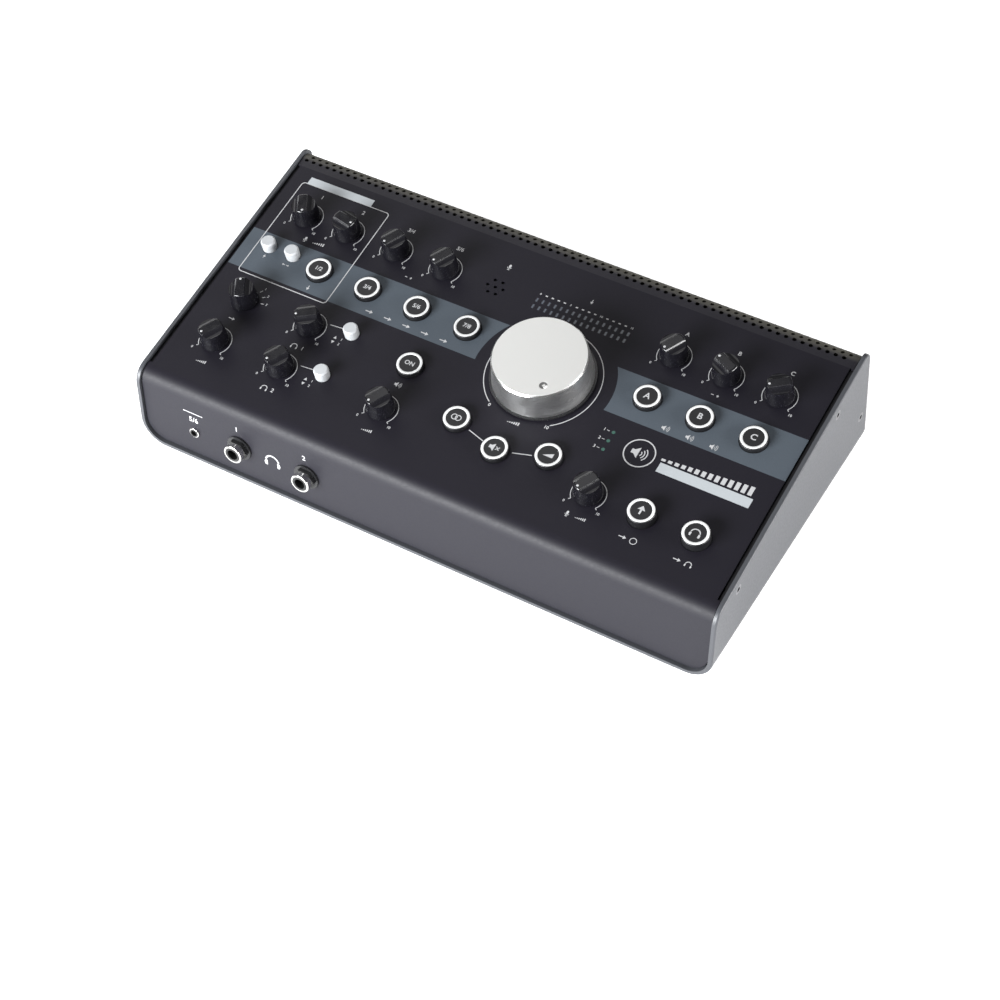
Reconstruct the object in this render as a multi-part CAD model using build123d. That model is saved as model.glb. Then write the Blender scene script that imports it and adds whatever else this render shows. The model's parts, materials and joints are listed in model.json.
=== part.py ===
from build123d import *
import math
import os

# Desktop studio monitor controller: a sloped control panel in a U-shaped shell, with a large volume knob.
# Millimetres and degrees. +X is to the right, +Y to the rear, +Z up.
# The origin is the middle of the footprint, on the desk.
# Places on the control panel are (x, v): x as above, v up the slope from the main row of buttons.
# Heights n are measured square to the panel, outwards from its surface.

# --- Housing ---------------------------------------------------------------------------------------
body_width = 358.0
body_depth = 189.0          # along the underside
foot_height = 3.0
panel_slope = 10.1          # the panel rises towards the rear
front_lean = 4.5            # the front face leans back
rear_lean = 6.0             # the rear face leans forward
row_to_rear = 83.9          # the main row of buttons, in front of the underside's rear edge
row_z = 69.25               # height of the panel's surface at that row
shell_wall = 2.6
shell_corner = 15.0         # outer radius along the two lower edges
shell_shoulder = 11.0       # radius of the side plates at the top of the front
shell_heel = 6.0            # radius of the side plates at the top of the rear
shell_edge = 1.0            # rounding of the outer edges of the side plates
rim_height = 1.0            # the side plates stand above the panel
face_recess = 1.8           # the front face lies behind the shell's front edge
rear_recess = 1.2           # the rear panel lies in front of the shell's rear edge
side_gap = 0.6              # front and rear faces to the side plates
floor_gap = 1.0             # front face to the shell's floor
slot_width = 2.6            # open slot between the panel's side edge and the side plate
slot_rear = 62.0            # v where the slot and the top panel end
sheet = 1.5                 # thickness of the panel, fascia, vent cover and rear panel
front_bend = 9.5            # outer radius of the bend between panel and fascia
rear_bend = 7.0             # outer radius of the vent cover's bend
vent_flange = 8.0           # how far the vent cover reaches down the rear face
vent_hole_radius = 1.3
vent_pitch = 4.8            # along a row of vent holes
vent_row_pitch = 3.3        # from row to row, around the bend
vent_rows = 4
vent_first_row = 67.1       # v of the first row
vent_side_margin = 6.0      # end of the rows to the side plates
bracket_sheet = 2.0
bracket_width = 14.0
bracket_leg = 11.0          # width of the bracket's leg under the panel
foot_radius = 8.0
foot_side_inset = 29.0      # a foot's centre from the side plate's outer face
foot_end_inset = 22.5       # and from the front or rear edge of the underside
foot_chamfer = 0.8

# --- Layout of the control panel ----------------------------------------------------------------------
row_main = 0.0
row_top = 30.6
row_upper = -0.1836 * body_depth
row_lower = -0.3455 * body_depth
row_input_switches = 3.3
source_usb_x = -0.06816 * body_width        # rightmost source button
source_pitch = 0.09022 * body_width         # source buttons go left from there
monitor_b_x = 0.32793 * body_width
monitor_pitch = 0.0866 * body_width
far_left_x = -0.41732 * body_width          # first gain, cue and direct knobs
phones_x = -0.29553 * body_width
studio_x = -0.11257 * body_width
source_switch_x = -0.2271 * body_width      # white switches beside the headphone knobs
source_switch_rise = 5.2    # they lie this far above the knob rows
input_switch_half_pitch = 8.0
volume_x = 0.08073 * body_width
volume_v = -0.054 * body_depth
function_arc_radius = 52.4  # mono, mute and dim buttons lie on this arc below the volume knob
function_arc_angle = 32.3

# --- Small knobs ---------------------------------------------------------------------------------------
knob_base_radius = 8.1
knob_neck_radius = 6.75     # at the foot of the top rounding
knob_height = 13.0
knob_lift = 0.6             # underside above the panel
knob_top_round = 1.2
knob_bar_half = 2.4         # half the grip bar across the top
knob_scoop_radius = 3.7     # hollows beside the grip bar
knob_scoop_depth = 2.0
knob_stop = 150.0           # either end of the travel, from straight up the slope
shaft_radius = 3.0
shaft_flat = 1.5            # depth of the D flat
shaft_clearance = 0.05      # in the potentiometer
hub_clearance = 0.02        # shaft in its knob
knob_bore_top = 10.4
pot_size = 9.8
pot_depth = 11.0            # along v
pot_top = 6.2               # below the panel surface
pot_bore = 10.4             # the bore's end below the panel surface
shaft_end = 10.1
knob_hole_radius = 3.7

# --- Volume knob ------------------------------------------------------------------------------------
volume_top_radius = 26.3
volume_base_radius = 27.9
volume_height = 18.6
volume_bevel = 0.8
volume_lift = 1.7           # underside of the aluminium above the panel
volume_wall = 4.5
volume_crown = 3.2
dimple_radius = 2.4
dimple_depth = 0.6
dimple_offset = 19.2        # from the knob's axis
volume_stop = 145.0         # either end of the travel, from straight up the slope
skirt_radius = 29.2
skirt_lift = 0.6
hub_lift = 4.2
hub_top = 14.0              # the shaft ends here, above the panel
nut_room = 7.6              # inner radius of the skirt around the nut
volume_pot_size = 17.0
volume_pot_top = 5.0
bushing_radius = 4.5
bushing_top = 2.4
volume_nut_radius = 6.3
volume_nut_height = 1.8

# --- Round buttons -------------------------------------------------------------------------------------
cap_radius = 7.7
cap_height = 3.0
talk_cap_height = 5.5       # the two talkback buttons stand taller
cap_clearance = 0.35        # cap in the panel's hole
cap_round = 0.45
ring_outer = 7.2
ring_inner = 5.75
ring_depth = 1.2
flange_radius = 9.0
flange_thickness = 1.0
flange_gap = 0.3            # under the panel
stem_radius = 2.8
stem_end = 8.2              # below the panel surface
key_size = 12.0
key_top = 8.6               # top of the key switch below the panel surface
key_bore = 3.15
key_bore_depth = 1.6

# --- White push buttons ----------------------------------------------------------------------------------
push_radius = 4.2
push_height = 6.0
push_bevel = 0.7
push_clearance = 0.4
push_skirt = 0.6            # lower end of the cap below the panel surface
plunger = 3.0
plunger_end = 5.2
plunger_clearance = 0.35
latch_size = 8.4
latch_top = 3.6
latch_bore_end = 9.0

# --- Meter, lights and microphone -----------------------------------------------------------------------
meter_x = 0.00168 * body_width              # first column of windows
meter_pitch = 0.01053 * body_width
meter_columns = 16
meter_upper_v = 33.3
meter_lower_v = 28.6
window_width = 1.4
window_height = 2.6
window_clearance = 0.1
window_depth = 2.4
status_x = 0.22346 * body_width
status_v = -0.1386 * body_depth
status_pitch = 5.8
status_radius = 1.0
mic_x = -0.06955 * body_width
mic_v = 31.6
mic_hole_radius = 1.05
mic_hole_pitch = 4.9
capsule_radius = 4.85
capsule_top = 2.0
capsule_end = 8.5
boot_radius = 7.0

# --- Boards and their fixings -----------------------------------------------------------------------------
board = 1.6
board_top = 13.0            # main board below the panel surface
board_inset = 16.0          # main board's side edges from the side plates' outer faces
board_front = -0.44444 * body_depth
board_rear = 44.0
spacer_radius = 2.75
screw_shank = 1.5
screw_clearance = 0.05
screw_head = 2.8
screw_head_height = 1.8
screw_length = 7.0
rear_spacer_x = [share * body_width for share in (-0.3799, -0.1117, 0.1955, 0.4469)]
rear_spacer_v = 40.0
front_spacer_x = [share * body_width for share in (-0.3687, -0.1899, 0.0391, 0.4413)]
front_spacer_v = -0.418 * body_depth
base_height = 8.0           # spacers under the base board
base_left = -0.0838 * body_width
base_right = 0.39385 * body_width
base_length = 112.0         # front to rear
base_rear_inset = 12.5      # rear edge from the underside's rear edge
base_inset = 7.0            # spacers from the base board's edges
flange_depth = 13.0         # rear panel's floor flange
flange_screw_x = 0.3352 * body_width        # outer screws of that flange; the third is in the middle
ribbon_width = 30.0
ribbon_thickness = 1.0
ribbon_x = 0.1257 * body_width
ribbon_inset = 12.0         # lower header from the base board's front edge
ribbon_top_v = -18.0
header_depth = 6.0
header_height = 5.0
ribbon_bend = 5.0
rear_side_screw_v = 36.2
front_side_screw_v = -0.4217 * body_depth
side_screw_drop = 6.0       # below the panel surface
heel_screw_inset = 8.4      # rear side screws: from the shell's rear edge
heel_screw_height = 35.2
countersink_radius = 2.9
countersink_depth = 1.5

# --- Jacks ---------------------------------------------------------------------------------------------
jack_bore = 3.25
jack_body = 14.5
jack_depth = 22.0           # behind the sheet
jack_thread = 4.6
jack_thread_clearance = 0.1
jack_wall_end = 2.0         # the bore stops this far before the body's end
nut_radius = 6.4
nut_height = 2.2
line_nose = 3.4             # threaded nose outside the rear panel
phone_nose = 7.2            # threaded nose outside the fascia
phones_jack_x = [-0.31173 * body_width, -0.18799 * body_width]
phones_jack_height = 22.9   # along the fascia, from the level of the shell's underside
washer_radius = 7.7
washer_height = 1.2
collar_radius = 6.7
collar_height = 2.4
ferrule_radius = 5.7
mini_x = -0.39749 * body_width
mini_height = 19.6
mini_bore = 1.8
mini_thread = 2.5
mini_nose = 1.3
mini_ring = 3.2
mini_ring_height = 1.1
mini_body = 7.0
mini_depth = 13.0
upper_jack = 54.5           # along the rear face, from the level of the underside
lower_jack = 31.0
pair_shares = {"input_34": -0.24581, "input_56": -0.18436, "track_out": -0.11173, "studio_out": -0.05028,
               "monitor_a": 0.03352, "monitor_b": 0.09497, "monitor_c": 0.15642}      # of the width
footswitch_x = 0.22905 * body_width
combo_x = [-0.42458 * body_width, -0.32961 * body_width]
combo_height = 40.0
combo_flange_width = 26.0
combo_flange_height = 31.0
combo_flange = 2.0
combo_body = 12.0
combo_core = 7.6
combo_ring = 9.8
combo_ring_depth = 9.0
combo_contact = 1.3
combo_contact_circle = 5.4
usb_x = 0.30168 * body_width
usb_width = 12.0
usb_height = 11.0
usb_length = 16.0
usb_cavity_width = 8.5
usb_cavity_height = 7.8
usb_cavity_depth = 9.0
socket_proud = 0.6
socket_clearance = 0.4
inlet_x = 0.36313 * body_width
inlet_width = 9.5
inlet_height = 11.0
inlet_length = 14.0
inlet_thread = 4.0
inlet_nose = 3.5
inlet_bore = 2.9
inlet_pin = 1.05
inlet_depth = 9.5
switch_x = 0.41899 * body_width
switch_height = 38.0
switch_width = 13.0
switch_tall = 19.0
switch_depth = 15.0
bezel = 1.4
bezel_margin = 1.2
rocker_width = 10.4
rocker_radius = 8.0
rocker_clearance = 0.4
rocker_tilt = 7.0
rocker_pivot = 1.5          # inside the outer face of the rear panel
rocker_pin = 1.0
rocker_pin_length = 0.9
rocker_dish = 9.0           # slope of each half of the rocker's face, towards its middle
rocker_crest = 0.4          # middle of the face above the bezel

# --- Derived values -----------------------------------------------------------------------------------------
slope = math.radians(panel_slope)
lean_front = math.radians(front_lean)
lean_rear = math.radians(rear_lean)
inner_half = body_width / 2 - shell_wall
face_half = inner_half - side_gap
panel_half = inner_half - slot_width
floor_z = foot_height + shell_wall
row_y = body_depth / 2 - row_to_rear
board_half_width = body_width / 2 - board_inset
base_rear = body_depth / 2 - base_rear_inset
base_front = base_rear - base_length
ribbon_base_y = base_front + ribbon_inset
foot_x = body_width / 2 - foot_side_inset
foot_y = body_depth / 2 - foot_end_inset
flange_screws = [-flange_screw_x, 0.0, flange_screw_x]
side_screw_v = [rear_side_screw_v, front_side_screw_v]
panel_spacers = [(x, rear_spacer_v) for x in rear_spacer_x] + [(x, front_spacer_v) for x in front_spacer_x]
pair_columns = {name: share * body_width for name, share in pair_shares.items()}
tall = 400.0                # longer than any piece, for cutting tools
source_x = [source_usb_x - source_pitch * step for step in (3, 2, 1, 0)]
monitor_x = [monitor_b_x + monitor_pitch * step for step in (-1, 0, 1)]

panel_frame = Plane(origin=(0, row_y, row_z), x_dir=(1, 0, 0), z_dir=(0, -math.sin(slope), math.cos(slope)))


def arc_place(turn):
    """Place on the function buttons' arc, turn degrees clockwise from straight below the volume knob."""
    angle = math.radians(turn)
    return (volume_x - function_arc_radius * math.sin(angle), volume_v - function_arc_radius * math.cos(angle))


# Small knobs: place on the panel, and the direction that the pointer is left at, from straight up the slope.
knobs = {
    "gain_1_knob": (far_left_x, row_top, -knob_stop),
    "gain_2_knob": (source_x[0], row_top, -101.0),
    "trim_34_knob": (source_x[1], row_top, knob_stop),
    "trim_56_knob": (source_x[2], row_top, knob_stop),
    "trim_a_knob": (monitor_x[0], row_top, knob_stop),
    "trim_b_knob": (monitor_x[1], row_top, 64.0),
    "trim_c_knob": (monitor_x[2], row_top, 124.0),
    "cue_knob": (far_left_x, row_upper, 30.0),
    "direct_knob": (far_left_x, row_lower, knob_stop),
    "phones_1_knob": (phones_x, row_upper, 123.0),
    "phones_2_knob": (phones_x, row_lower, knob_stop),
    "studio_knob": (studio_x, row_lower, knob_stop),
    "talkback_knob": (monitor_x[0], row_lower, knob_stop),
}
# Round buttons: place on the panel and height of the cap.
buttons = {
    "source_12_button": (source_x[0], row_main, cap_height),
    "source_34_button": (source_x[1], row_main, cap_height),
    "source_56_button": (source_x[2], row_main, cap_height),
    "source_usb_button": (source_x[3], row_main, cap_height),
    "monitor_a_button": (monitor_x[0], row_main, cap_height),
    "monitor_b_button": (monitor_x[1], row_main, cap_height),
    "monitor_c_button": (monitor_x[2], row_main, cap_height),
    "studio_button": (studio_x, row_upper, cap_height),
    "mono_button": (*arc_place(function_arc_angle), cap_height),
    "mute_button": (*arc_place(0), cap_height),
    "dim_button": (*arc_place(-function_arc_angle), cap_height),
    "talk_track_button": (monitor_x[1], row_lower, talk_cap_height),
    "talk_cue_button": (monitor_x[2], row_lower, talk_cap_height),
}
# White push buttons: place on the panel.
pushes = {
    "phantom_push": (far_left_x - input_switch_half_pitch, row_input_switches),
    "stereo_push": (far_left_x + input_switch_half_pitch, row_input_switches),
    "phones_1_push": (source_switch_x, row_upper + source_switch_rise),
    "phones_2_push": (source_switch_x, row_lower + source_switch_rise),
}


# --- Places --------------------------------------------------------------------------------------------

def on_panel(x, v, n=0.0):
    """Frame on the control panel, with its Z axis square to the panel."""
    return panel_frame.location * Pos(x, v, n)


def crossing(point_a, angle_a, point_b, angle_b):
    """Where two lines of the side view meet. Points are (y, z); angles are in radians from +Y."""
    gap_y = point_b[0] - point_a[0]
    gap_z = point_b[1] - point_a[1]
    across = math.sin(angle_a - angle_b)
    along = (math.cos(angle_b) * gap_z - math.sin(angle_b) * gap_y) / across
    return (point_a[0] + along * math.cos(angle_a), point_a[1] + along * math.sin(angle_a))


def side_corners(front_in, rear_in, top_out, bottom_z):
    """Corners of the housing's side view, each face moved in or out: front low, rear low, rear top, front top."""
    front = (-body_depth / 2 + front_in / math.cos(lean_front), foot_height)
    rear = (body_depth / 2 - rear_in / math.cos(lean_rear), foot_height)
    top = (row_y - top_out * math.sin(slope), row_z + top_out * math.cos(slope))
    front_angle = math.pi / 2 - lean_front
    rear_angle = math.pi / 2 + lean_rear
    bottom = (0.0, bottom_z)
    return [
        crossing(front, front_angle, bottom, 0.0),
        crossing(rear, rear_angle, bottom, 0.0),
        crossing(rear, rear_angle, top, slope),
        crossing(front, front_angle, top, slope),
    ]


def side_prism(corners, front_radius, rear_radius, half_width):
    """The side view as a solid across the housing, with its two upper corners rounded."""
    face = make_face(Polyline(*corners, close=True))
    face = fillet(face.vertices().sort_by_distance(Vector(*corners[3]))[0], front_radius)
    face = fillet(face.vertices().sort_by_distance(Vector(*corners[2]))[0], rear_radius)
    return extrude(Plane.YZ * face, amount=half_width, both=True)


def through_section(half_width, bottom_z, radius):
    """Prism from front to rear with rounded lower corners, open far above."""
    outline = Pos(0, bottom_z + tall / 2) * RectangleRounded(2 * half_width, tall, radius)
    return extrude(Plane.XZ * outline, amount=tall / 2, both=True)


def front_frame():
    """Frame on the fascia's outer face at the level of the underside, Z outwards and Y up the face."""
    low_y = side_corners(face_recess, 0, 0, foot_height)[0][0]
    outward = (0, -math.cos(lean_front), math.sin(lean_front))
    return Plane(origin=(0, low_y, foot_height), x_dir=(1, 0, 0), z_dir=outward).location


def rear_frame():
    """Frame on the rear panel's outer face at the level of the underside, Z outwards and Y up the face."""
    low_y = side_corners(0, rear_recess, 0, foot_height)[1][0]
    outward = (0, math.cos(lean_rear), math.sin(lean_rear))
    return Plane(origin=(0, low_y, foot_height), x_dir=(-1, 0, 0), z_dir=outward).location


def on_front(x, height, out=0.0):
    return front_frame() * Pos(x, height, out)


def on_rear(x, height, out=0.0):
    return rear_frame() * Pos(-x, height, out)


def rear_face_y(z):
    """Where the rear panel's outer face is at a height."""
    return side_corners(0, rear_recess, 0, z)[1][0]


# --- Small helpers ---------------------------------------------------------------------------------------

def post(radius, low, high):
    """Round bar along Z."""
    return Pos(0, 0, (low + high) / 2) * Cylinder(radius, high - low)


def block(width, depth, low, high):
    """Rectangular bar along Z."""
    return Pos(0, 0, (low + high) / 2) * Box(width, depth, high - low)


def tube(outer, inner, low, high):
    return post(outer, low, high) - post(inner, low - 1, high + 1)


def hex_nut(radius, bore, low, high):
    """Nut with its corners on the radius and lightly bevelled."""
    prism = extrude(Pos(0, 0, low) * RegularPolygon(radius, 6), amount=high - low)
    return prism - post(bore, low - 1, high + 1)


def d_shaft(radius, flat, low, high):
    """Round shaft with a flat along one side."""
    reach = 2 * radius
    return post(radius, low, high) - Pos(0, reach / 2 + radius - flat, 0) * block(2 * reach, reach, low - 1, high + 1)


def turned(points):
    """Solid turned about Z from (radius, height) points."""
    return revolve(Plane.XZ * make_face(Polyline(*points, close=True)), Axis.Z)


def solids_of(pieces):
    """Separate solids kept together in one node."""
    return Compound(children=[solid for piece in pieces for solid in piece.solids()])


# --- Housing -------------------------------------------------------------------------------------------------

def bent_sheet():
    """Fascia, top, rear bend and rear face as one sheet, before it is divided."""
    outer = side_corners(face_recess, rear_recess, 0, foot_height)
    inner = side_corners(face_recess + sheet, rear_recess + sheet, -sheet, foot_height - 1)
    skin = side_prism(outer, front_bend, rear_bend, face_half)
    core = side_prism(inner, front_bend - sheet, rear_bend - sheet, face_half + 1)
    return skin - core


def behind_slot():
    """Everything behind the end of the top panel."""
    return on_panel(0, slot_rear + tall / 2) * Box(tall * 2, tall, tall)


def rear_seam_z():
    """Height where the vent cover's flange meets the rear panel."""
    return side_corners(0, rear_recess, 0, foot_height)[2][1] - vent_flange


def below_seam():
    return Pos(0, 0, rear_seam_z() - tall / 2) * Box(tall * 2, tall, tall)


def bend_start(corner, radius, turn):
    """v where a bend of this radius leaves the panel's plane."""
    y, z = corner
    v = (y - row_y) * math.cos(slope) + (z - row_z) * math.sin(slope)
    return v - math.copysign(radius * math.tan(turn / 2), v)


def side_screw_places():
    """Frames of the side screws, with Z pointing out of the side plates."""
    reach = body_width / 2
    rear_y = side_corners(0, heel_screw_inset, 0, heel_screw_height)[1][0]
    for v in side_screw_v:
        spot = on_panel(0, v, -side_screw_drop).position
        yield Pos(reach, spot.Y, spot.Z) * Rot(0, 90, 0)
        yield Pos(-reach, spot.Y, spot.Z) * Rot(0, -90, 0)
    yield Pos(reach, rear_y, heel_screw_height) * Rot(0, 90, 0)
    yield Pos(-reach, rear_y, heel_screw_height) * Rot(0, -90, 0)


def base_corners():
    for x in (base_left + base_inset, base_right - base_inset):
        for y in (base_front + base_inset, base_rear - base_inset):
            yield (x, y)


def flange_screw_y():
    return rear_face_y(floor_z) - sheet - flange_depth / 2


def floor_screw_places():
    """Places of the screws through the shell's floor."""
    return [*base_corners(), *[(x, flange_screw_y()) for x in flange_screws]]


def screw_cut():
    """Hole and countersink for a side screw, along Z, with the surface at zero."""
    hole = post(screw_shank + screw_clearance, -screw_length, 1)
    radius = countersink_radius + screw_clearance
    cone = turned([(0, -countersink_depth), (screw_shank, -countersink_depth), (radius, 0), (radius, 1), (0, 1)])
    return hole + cone


def make_outer_shell():
    outer = through_section(body_width / 2, foot_height, shell_corner)
    inner = through_section(inner_half, floor_z, shell_corner - shell_wall)
    outline = side_prism(side_corners(0, 0, rim_height, foot_height), shell_shoulder, shell_heel, body_width)
    shell = (outer - inner) & outline
    rims = [edge for edge in shell.edges() if abs(abs(edge.center().X) - body_width / 2) < 0.01
            and edge.length > shell_edge and edge.center().Z > foot_height + shell_corner + shell_edge]
    shell = fillet(rims, shell_edge)
    for place in side_screw_places():
        shell -= place * screw_cut()
    for x, y in floor_screw_places():
        shell -= Pos(x, y, 0) * post(screw_shank + screw_clearance, foot_height - 1, floor_z + 1)
    return shell


def panel_cuts():
    """Every hole through the top panel."""
    low = -sheet - 1
    for x, v, turn in knobs.values():
        yield on_panel(x, v) * post(knob_hole_radius, low, 1)
    for x, v, height in buttons.values():
        yield on_panel(x, v) * post(cap_radius + cap_clearance, low, 1)
    for x, v in pushes.values():
        yield on_panel(x, v) * post(push_radius + push_clearance, low, 1)
    yield on_panel(volume_x, volume_v) * post(bushing_radius + screw_clearance, low, 1)
    for x, v in meter_places():
        yield on_panel(x, v) * block(window_width + 2 * window_clearance, window_height + 2 * window_clearance, low, 1)
    for x, v in status_places():
        yield on_panel(x, v) * post(status_radius + window_clearance, low, 1)
    for x, v in mic_places():
        yield on_panel(x, v) * post(mic_hole_radius, low, 1)


def front_cuts():
    """Every hole through the fascia."""
    low = -sheet - 1
    for x in phones_jack_x:
        yield on_front(x, phones_jack_height) * post(jack_thread + jack_thread_clearance, low, 1)
    yield on_front(mini_x, mini_height) * post(mini_thread + jack_thread_clearance, low, 1)


def make_top_panel():
    panel = bent_sheet() & through_section(face_half, floor_z + floor_gap, shell_corner - shell_wall - side_gap)
    panel -= behind_slot()
    turn = math.pi / 2 - slope + lean_front
    slot_front = bend_start(side_corners(face_recess, 0, 0, foot_height)[3], front_bend, turn)
    for side in (-1, 1):
        notch = Box(slot_width, slot_rear - slot_front, 4 * sheet)
        panel -= on_panel(side * (panel_half + slot_width / 2), (slot_front + slot_rear) / 2) * notch
    return panel - [*panel_cuts(), *front_cuts()]


def vent_column(x):
    """One column of vent holes over the rear bend, with every second row moved half a pitch aside."""
    turn = math.pi / 2 + slope - lean_rear
    start = bend_start(side_corners(0, rear_recess, 0, foot_height)[2], rear_bend, turn)
    for row in range(vent_rows):
        along = vent_first_row - start + row * vent_row_pitch
        angle = min(max(along / rear_bend, 0), turn)
        rest = along - angle * rear_bend
        stagger = vent_pitch / 2 * (row % 2)
        bend = on_panel(x + stagger, start, -rear_bend) * Rot(-math.degrees(angle), 0, 0)
        yield bend * Pos(0, rest, rear_bend) * Cylinder(vent_hole_radius, 3 * sheet)


def make_vent_cover():
    """Vent cover, built of strips one column wide whose faces stay apart along the bend."""
    sheet_behind = (bent_sheet() & behind_slot()) - below_seam()
    columns = int((face_half - vent_side_margin) / vent_pitch)
    strip = sheet_behind & Box(vent_pitch, tall, tall)
    strip -= [*vent_column(-vent_pitch), *vent_column(0)]
    strips = [Pos(column * vent_pitch, 0, 0) * strip for column in range(-columns, columns + 1)]
    vented_half = (columns + 0.5) * vent_pitch
    margin = face_half - vented_half
    for side in (-1, 1):
        end = sheet_behind & Pos(side * (vented_half + margin / 2), 0, 0) * Box(margin, tall, tall)
        strips.append(end - list(vent_column(side * vented_half - vent_pitch / 2)))
    return strips[0].fuse(*strips[1:])


def make_rear_panel():
    section = through_section(face_half, floor_z, shell_corner - shell_wall - side_gap)
    panel = bent_sheet() & behind_slot() & below_seam() & section
    low_y = rear_face_y(floor_z) - sheet
    flange_half = inner_half - shell_corner
    panel += Pos(0, low_y - flange_depth / 2 + sheet / 2, floor_z + sheet / 2) * Box(
        2 * flange_half, flange_depth + sheet, sheet)
    return panel - list(rear_cuts())


def rear_cuts():
    """Every hole through the rear panel and its floor flange."""
    low = -sheet - 1
    for x, height in line_jack_places():
        yield on_rear(x, height) * post(jack_thread + jack_thread_clearance, low, 1)
    for x in combo_x:
        yield on_rear(x, combo_height) * post(combo_body + jack_thread_clearance, low, 1)
    yield on_rear(switch_x, switch_height) * block(switch_width + 0.2, switch_tall + 0.2, low, 1)
    board_face = floor_z + base_height + board
    for x, width, height in ((usb_x, usb_width, usb_height), (inlet_x, inlet_width, inlet_height)):
        opening = Box(width + 2 * socket_clearance, flange_depth, height + 2 * socket_clearance)
        yield Pos(x, rear_face_y(board_face), board_face + height / 2) * opening
    for x in flange_screws:
        yield Pos(x, flange_screw_y(), 0) * post(screw_shank, floor_z - 1, floor_z + sheet + 1)


def make_side_brackets():
    outer = side_corners(face_recess + sheet, rear_recess + sheet, -sheet, foot_height)
    reach = bracket_width + sheet
    inner = side_corners(face_recess + reach, rear_recess + reach, -reach, foot_height - 1)
    arch = side_prism(outer, front_bend - sheet, rear_bend - sheet, inner_half)
    arch -= side_prism(inner, front_bend, rear_bend, inner_half + 1)
    arch -= Box(2 * (inner_half - bracket_sheet), tall, tall)
    arch -= Pos(0, 0, foot_height + shell_corner - tall / 2) * Box(tall * 2, tall, tall)
    legs = []
    leg_front = board_front
    for side in (-1, 1):
        leg = Box(bracket_leg, slot_rear - leg_front, bracket_sheet)
        place = on_panel(side * (inner_half - bracket_leg / 2), (slot_rear + leg_front) / 2, -sheet - bracket_sheet / 2)
        legs.append(place * leg)
    brackets = arch + legs
    holes = [place * post(screw_shank, -2 * screw_length, 1) for place in side_screw_places()]
    return solids_of([brackets - holes])


def make_rubber_feet():
    foot = turned([
        (0, 0), (foot_radius - foot_chamfer, 0), (foot_radius, foot_chamfer), (foot_radius, foot_height),
        (0, foot_height),
    ])
    return solids_of([Pos(x, y, 0) * foot for x in (-foot_x, foot_x) for y in (-foot_y, foot_y)])


def countersunk_screw():
    cone = turned([(0, -countersink_depth), (screw_shank, -countersink_depth), (countersink_radius, 0), (0, 0)])
    drive = extrude(Pos(0, 0, -1) * RegularPolygon(screw_shank, 6), amount=2)
    return post(screw_shank, -screw_length, -countersink_depth) + cone - drive


def pan_screw(length):
    """Screw along Z with its head below zero."""
    head = post(screw_head, -screw_head_height, 0)
    drive = extrude(Pos(0, 0, -screw_head_height) * RegularPolygon(screw_shank, 6), amount=1)
    return head + post(screw_shank, 0, length) - drive


def make_case_screws():
    screws = [place * countersunk_screw() for place in side_screw_places()]
    screws += [Pos(x, y, foot_height) * pan_screw(screw_length) for x, y in base_corners()]
    screws += [Pos(x, flange_screw_y(), foot_height) * pan_screw(screw_length) for x in flange_screws]
    return solids_of(screws)


# --- Boards ------------------------------------------------------------------------------------------------

def main_board_screws():
    return [on_panel(x, v, -board_top - board) for x, v in panel_spacers]


def make_main_board():
    outline = Box(2 * board_half_width, board_rear - board_front, board)
    plate = on_panel(0, (board_rear + board_front) / 2, -board_top - board / 2) * outline
    return plate - [place * post(screw_shank + screw_clearance, -1, board + 1) for place in main_board_screws()]


def make_base_board():
    plate = Box(base_right - base_left, base_rear - base_front, board)
    plate = Pos((base_left + base_right) / 2, (base_front + base_rear) / 2, floor_z + base_height + board / 2) * plate
    hole = post(screw_shank + screw_clearance, floor_z + base_height - 1, floor_z + base_height + board + 1)
    return plate - [Pos(x, y, 0) * hole for x, y in base_corners()]


def make_jack_boards():
    """Upright boards behind the rear jacks and behind the headphone jacks."""
    margin = jack_body / 2 + 3
    columns = [*pair_columns.values(), footswitch_x]
    low = lower_jack - margin
    rear = Box(max(columns) - min(columns) + 2 * margin, upper_jack - low + margin, board)
    depth = -sheet - jack_depth - board / 2
    rear = on_rear((max(columns) + min(columns)) / 2, (upper_jack + low + margin) / 2, depth) * rear
    phones = Box(max(phones_jack_x) - mini_x + 2 * margin, jack_body + 4, board)
    phones = on_front((max(phones_jack_x) + mini_x) / 2, phones_jack_height, depth) * phones
    return solids_of([rear, phones])


def make_board_fixings():
    """Spacers and screws of the main board and the base board."""
    pieces = []
    bore = screw_shank
    for x, v in panel_spacers:
        pieces.append(on_panel(x, v) * (post(spacer_radius, -board_top, -sheet) - post(bore, -board_top - 1, -sheet - 1)))
        pieces.append(on_panel(x, v, -board_top - board) * pan_screw(screw_length))
    top = floor_z + base_height
    for x, y in base_corners():
        pieces.append(Pos(x, y, 0) * tube(spacer_radius, bore, floor_z, top))
        pieces.append(Pos(x, y, top + board) * Rot(180, 0, 0) * pan_screw(board + 2))
    return solids_of(pieces)


def ribbon_ends():
    """Side-view places where the ribbon leaves its two headers."""
    low = (ribbon_base_y, floor_z + base_height + board + header_height)
    high = on_panel(0, ribbon_top_v, -board_top - board - header_height).position
    return low, (high.Y, high.Z)


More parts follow.
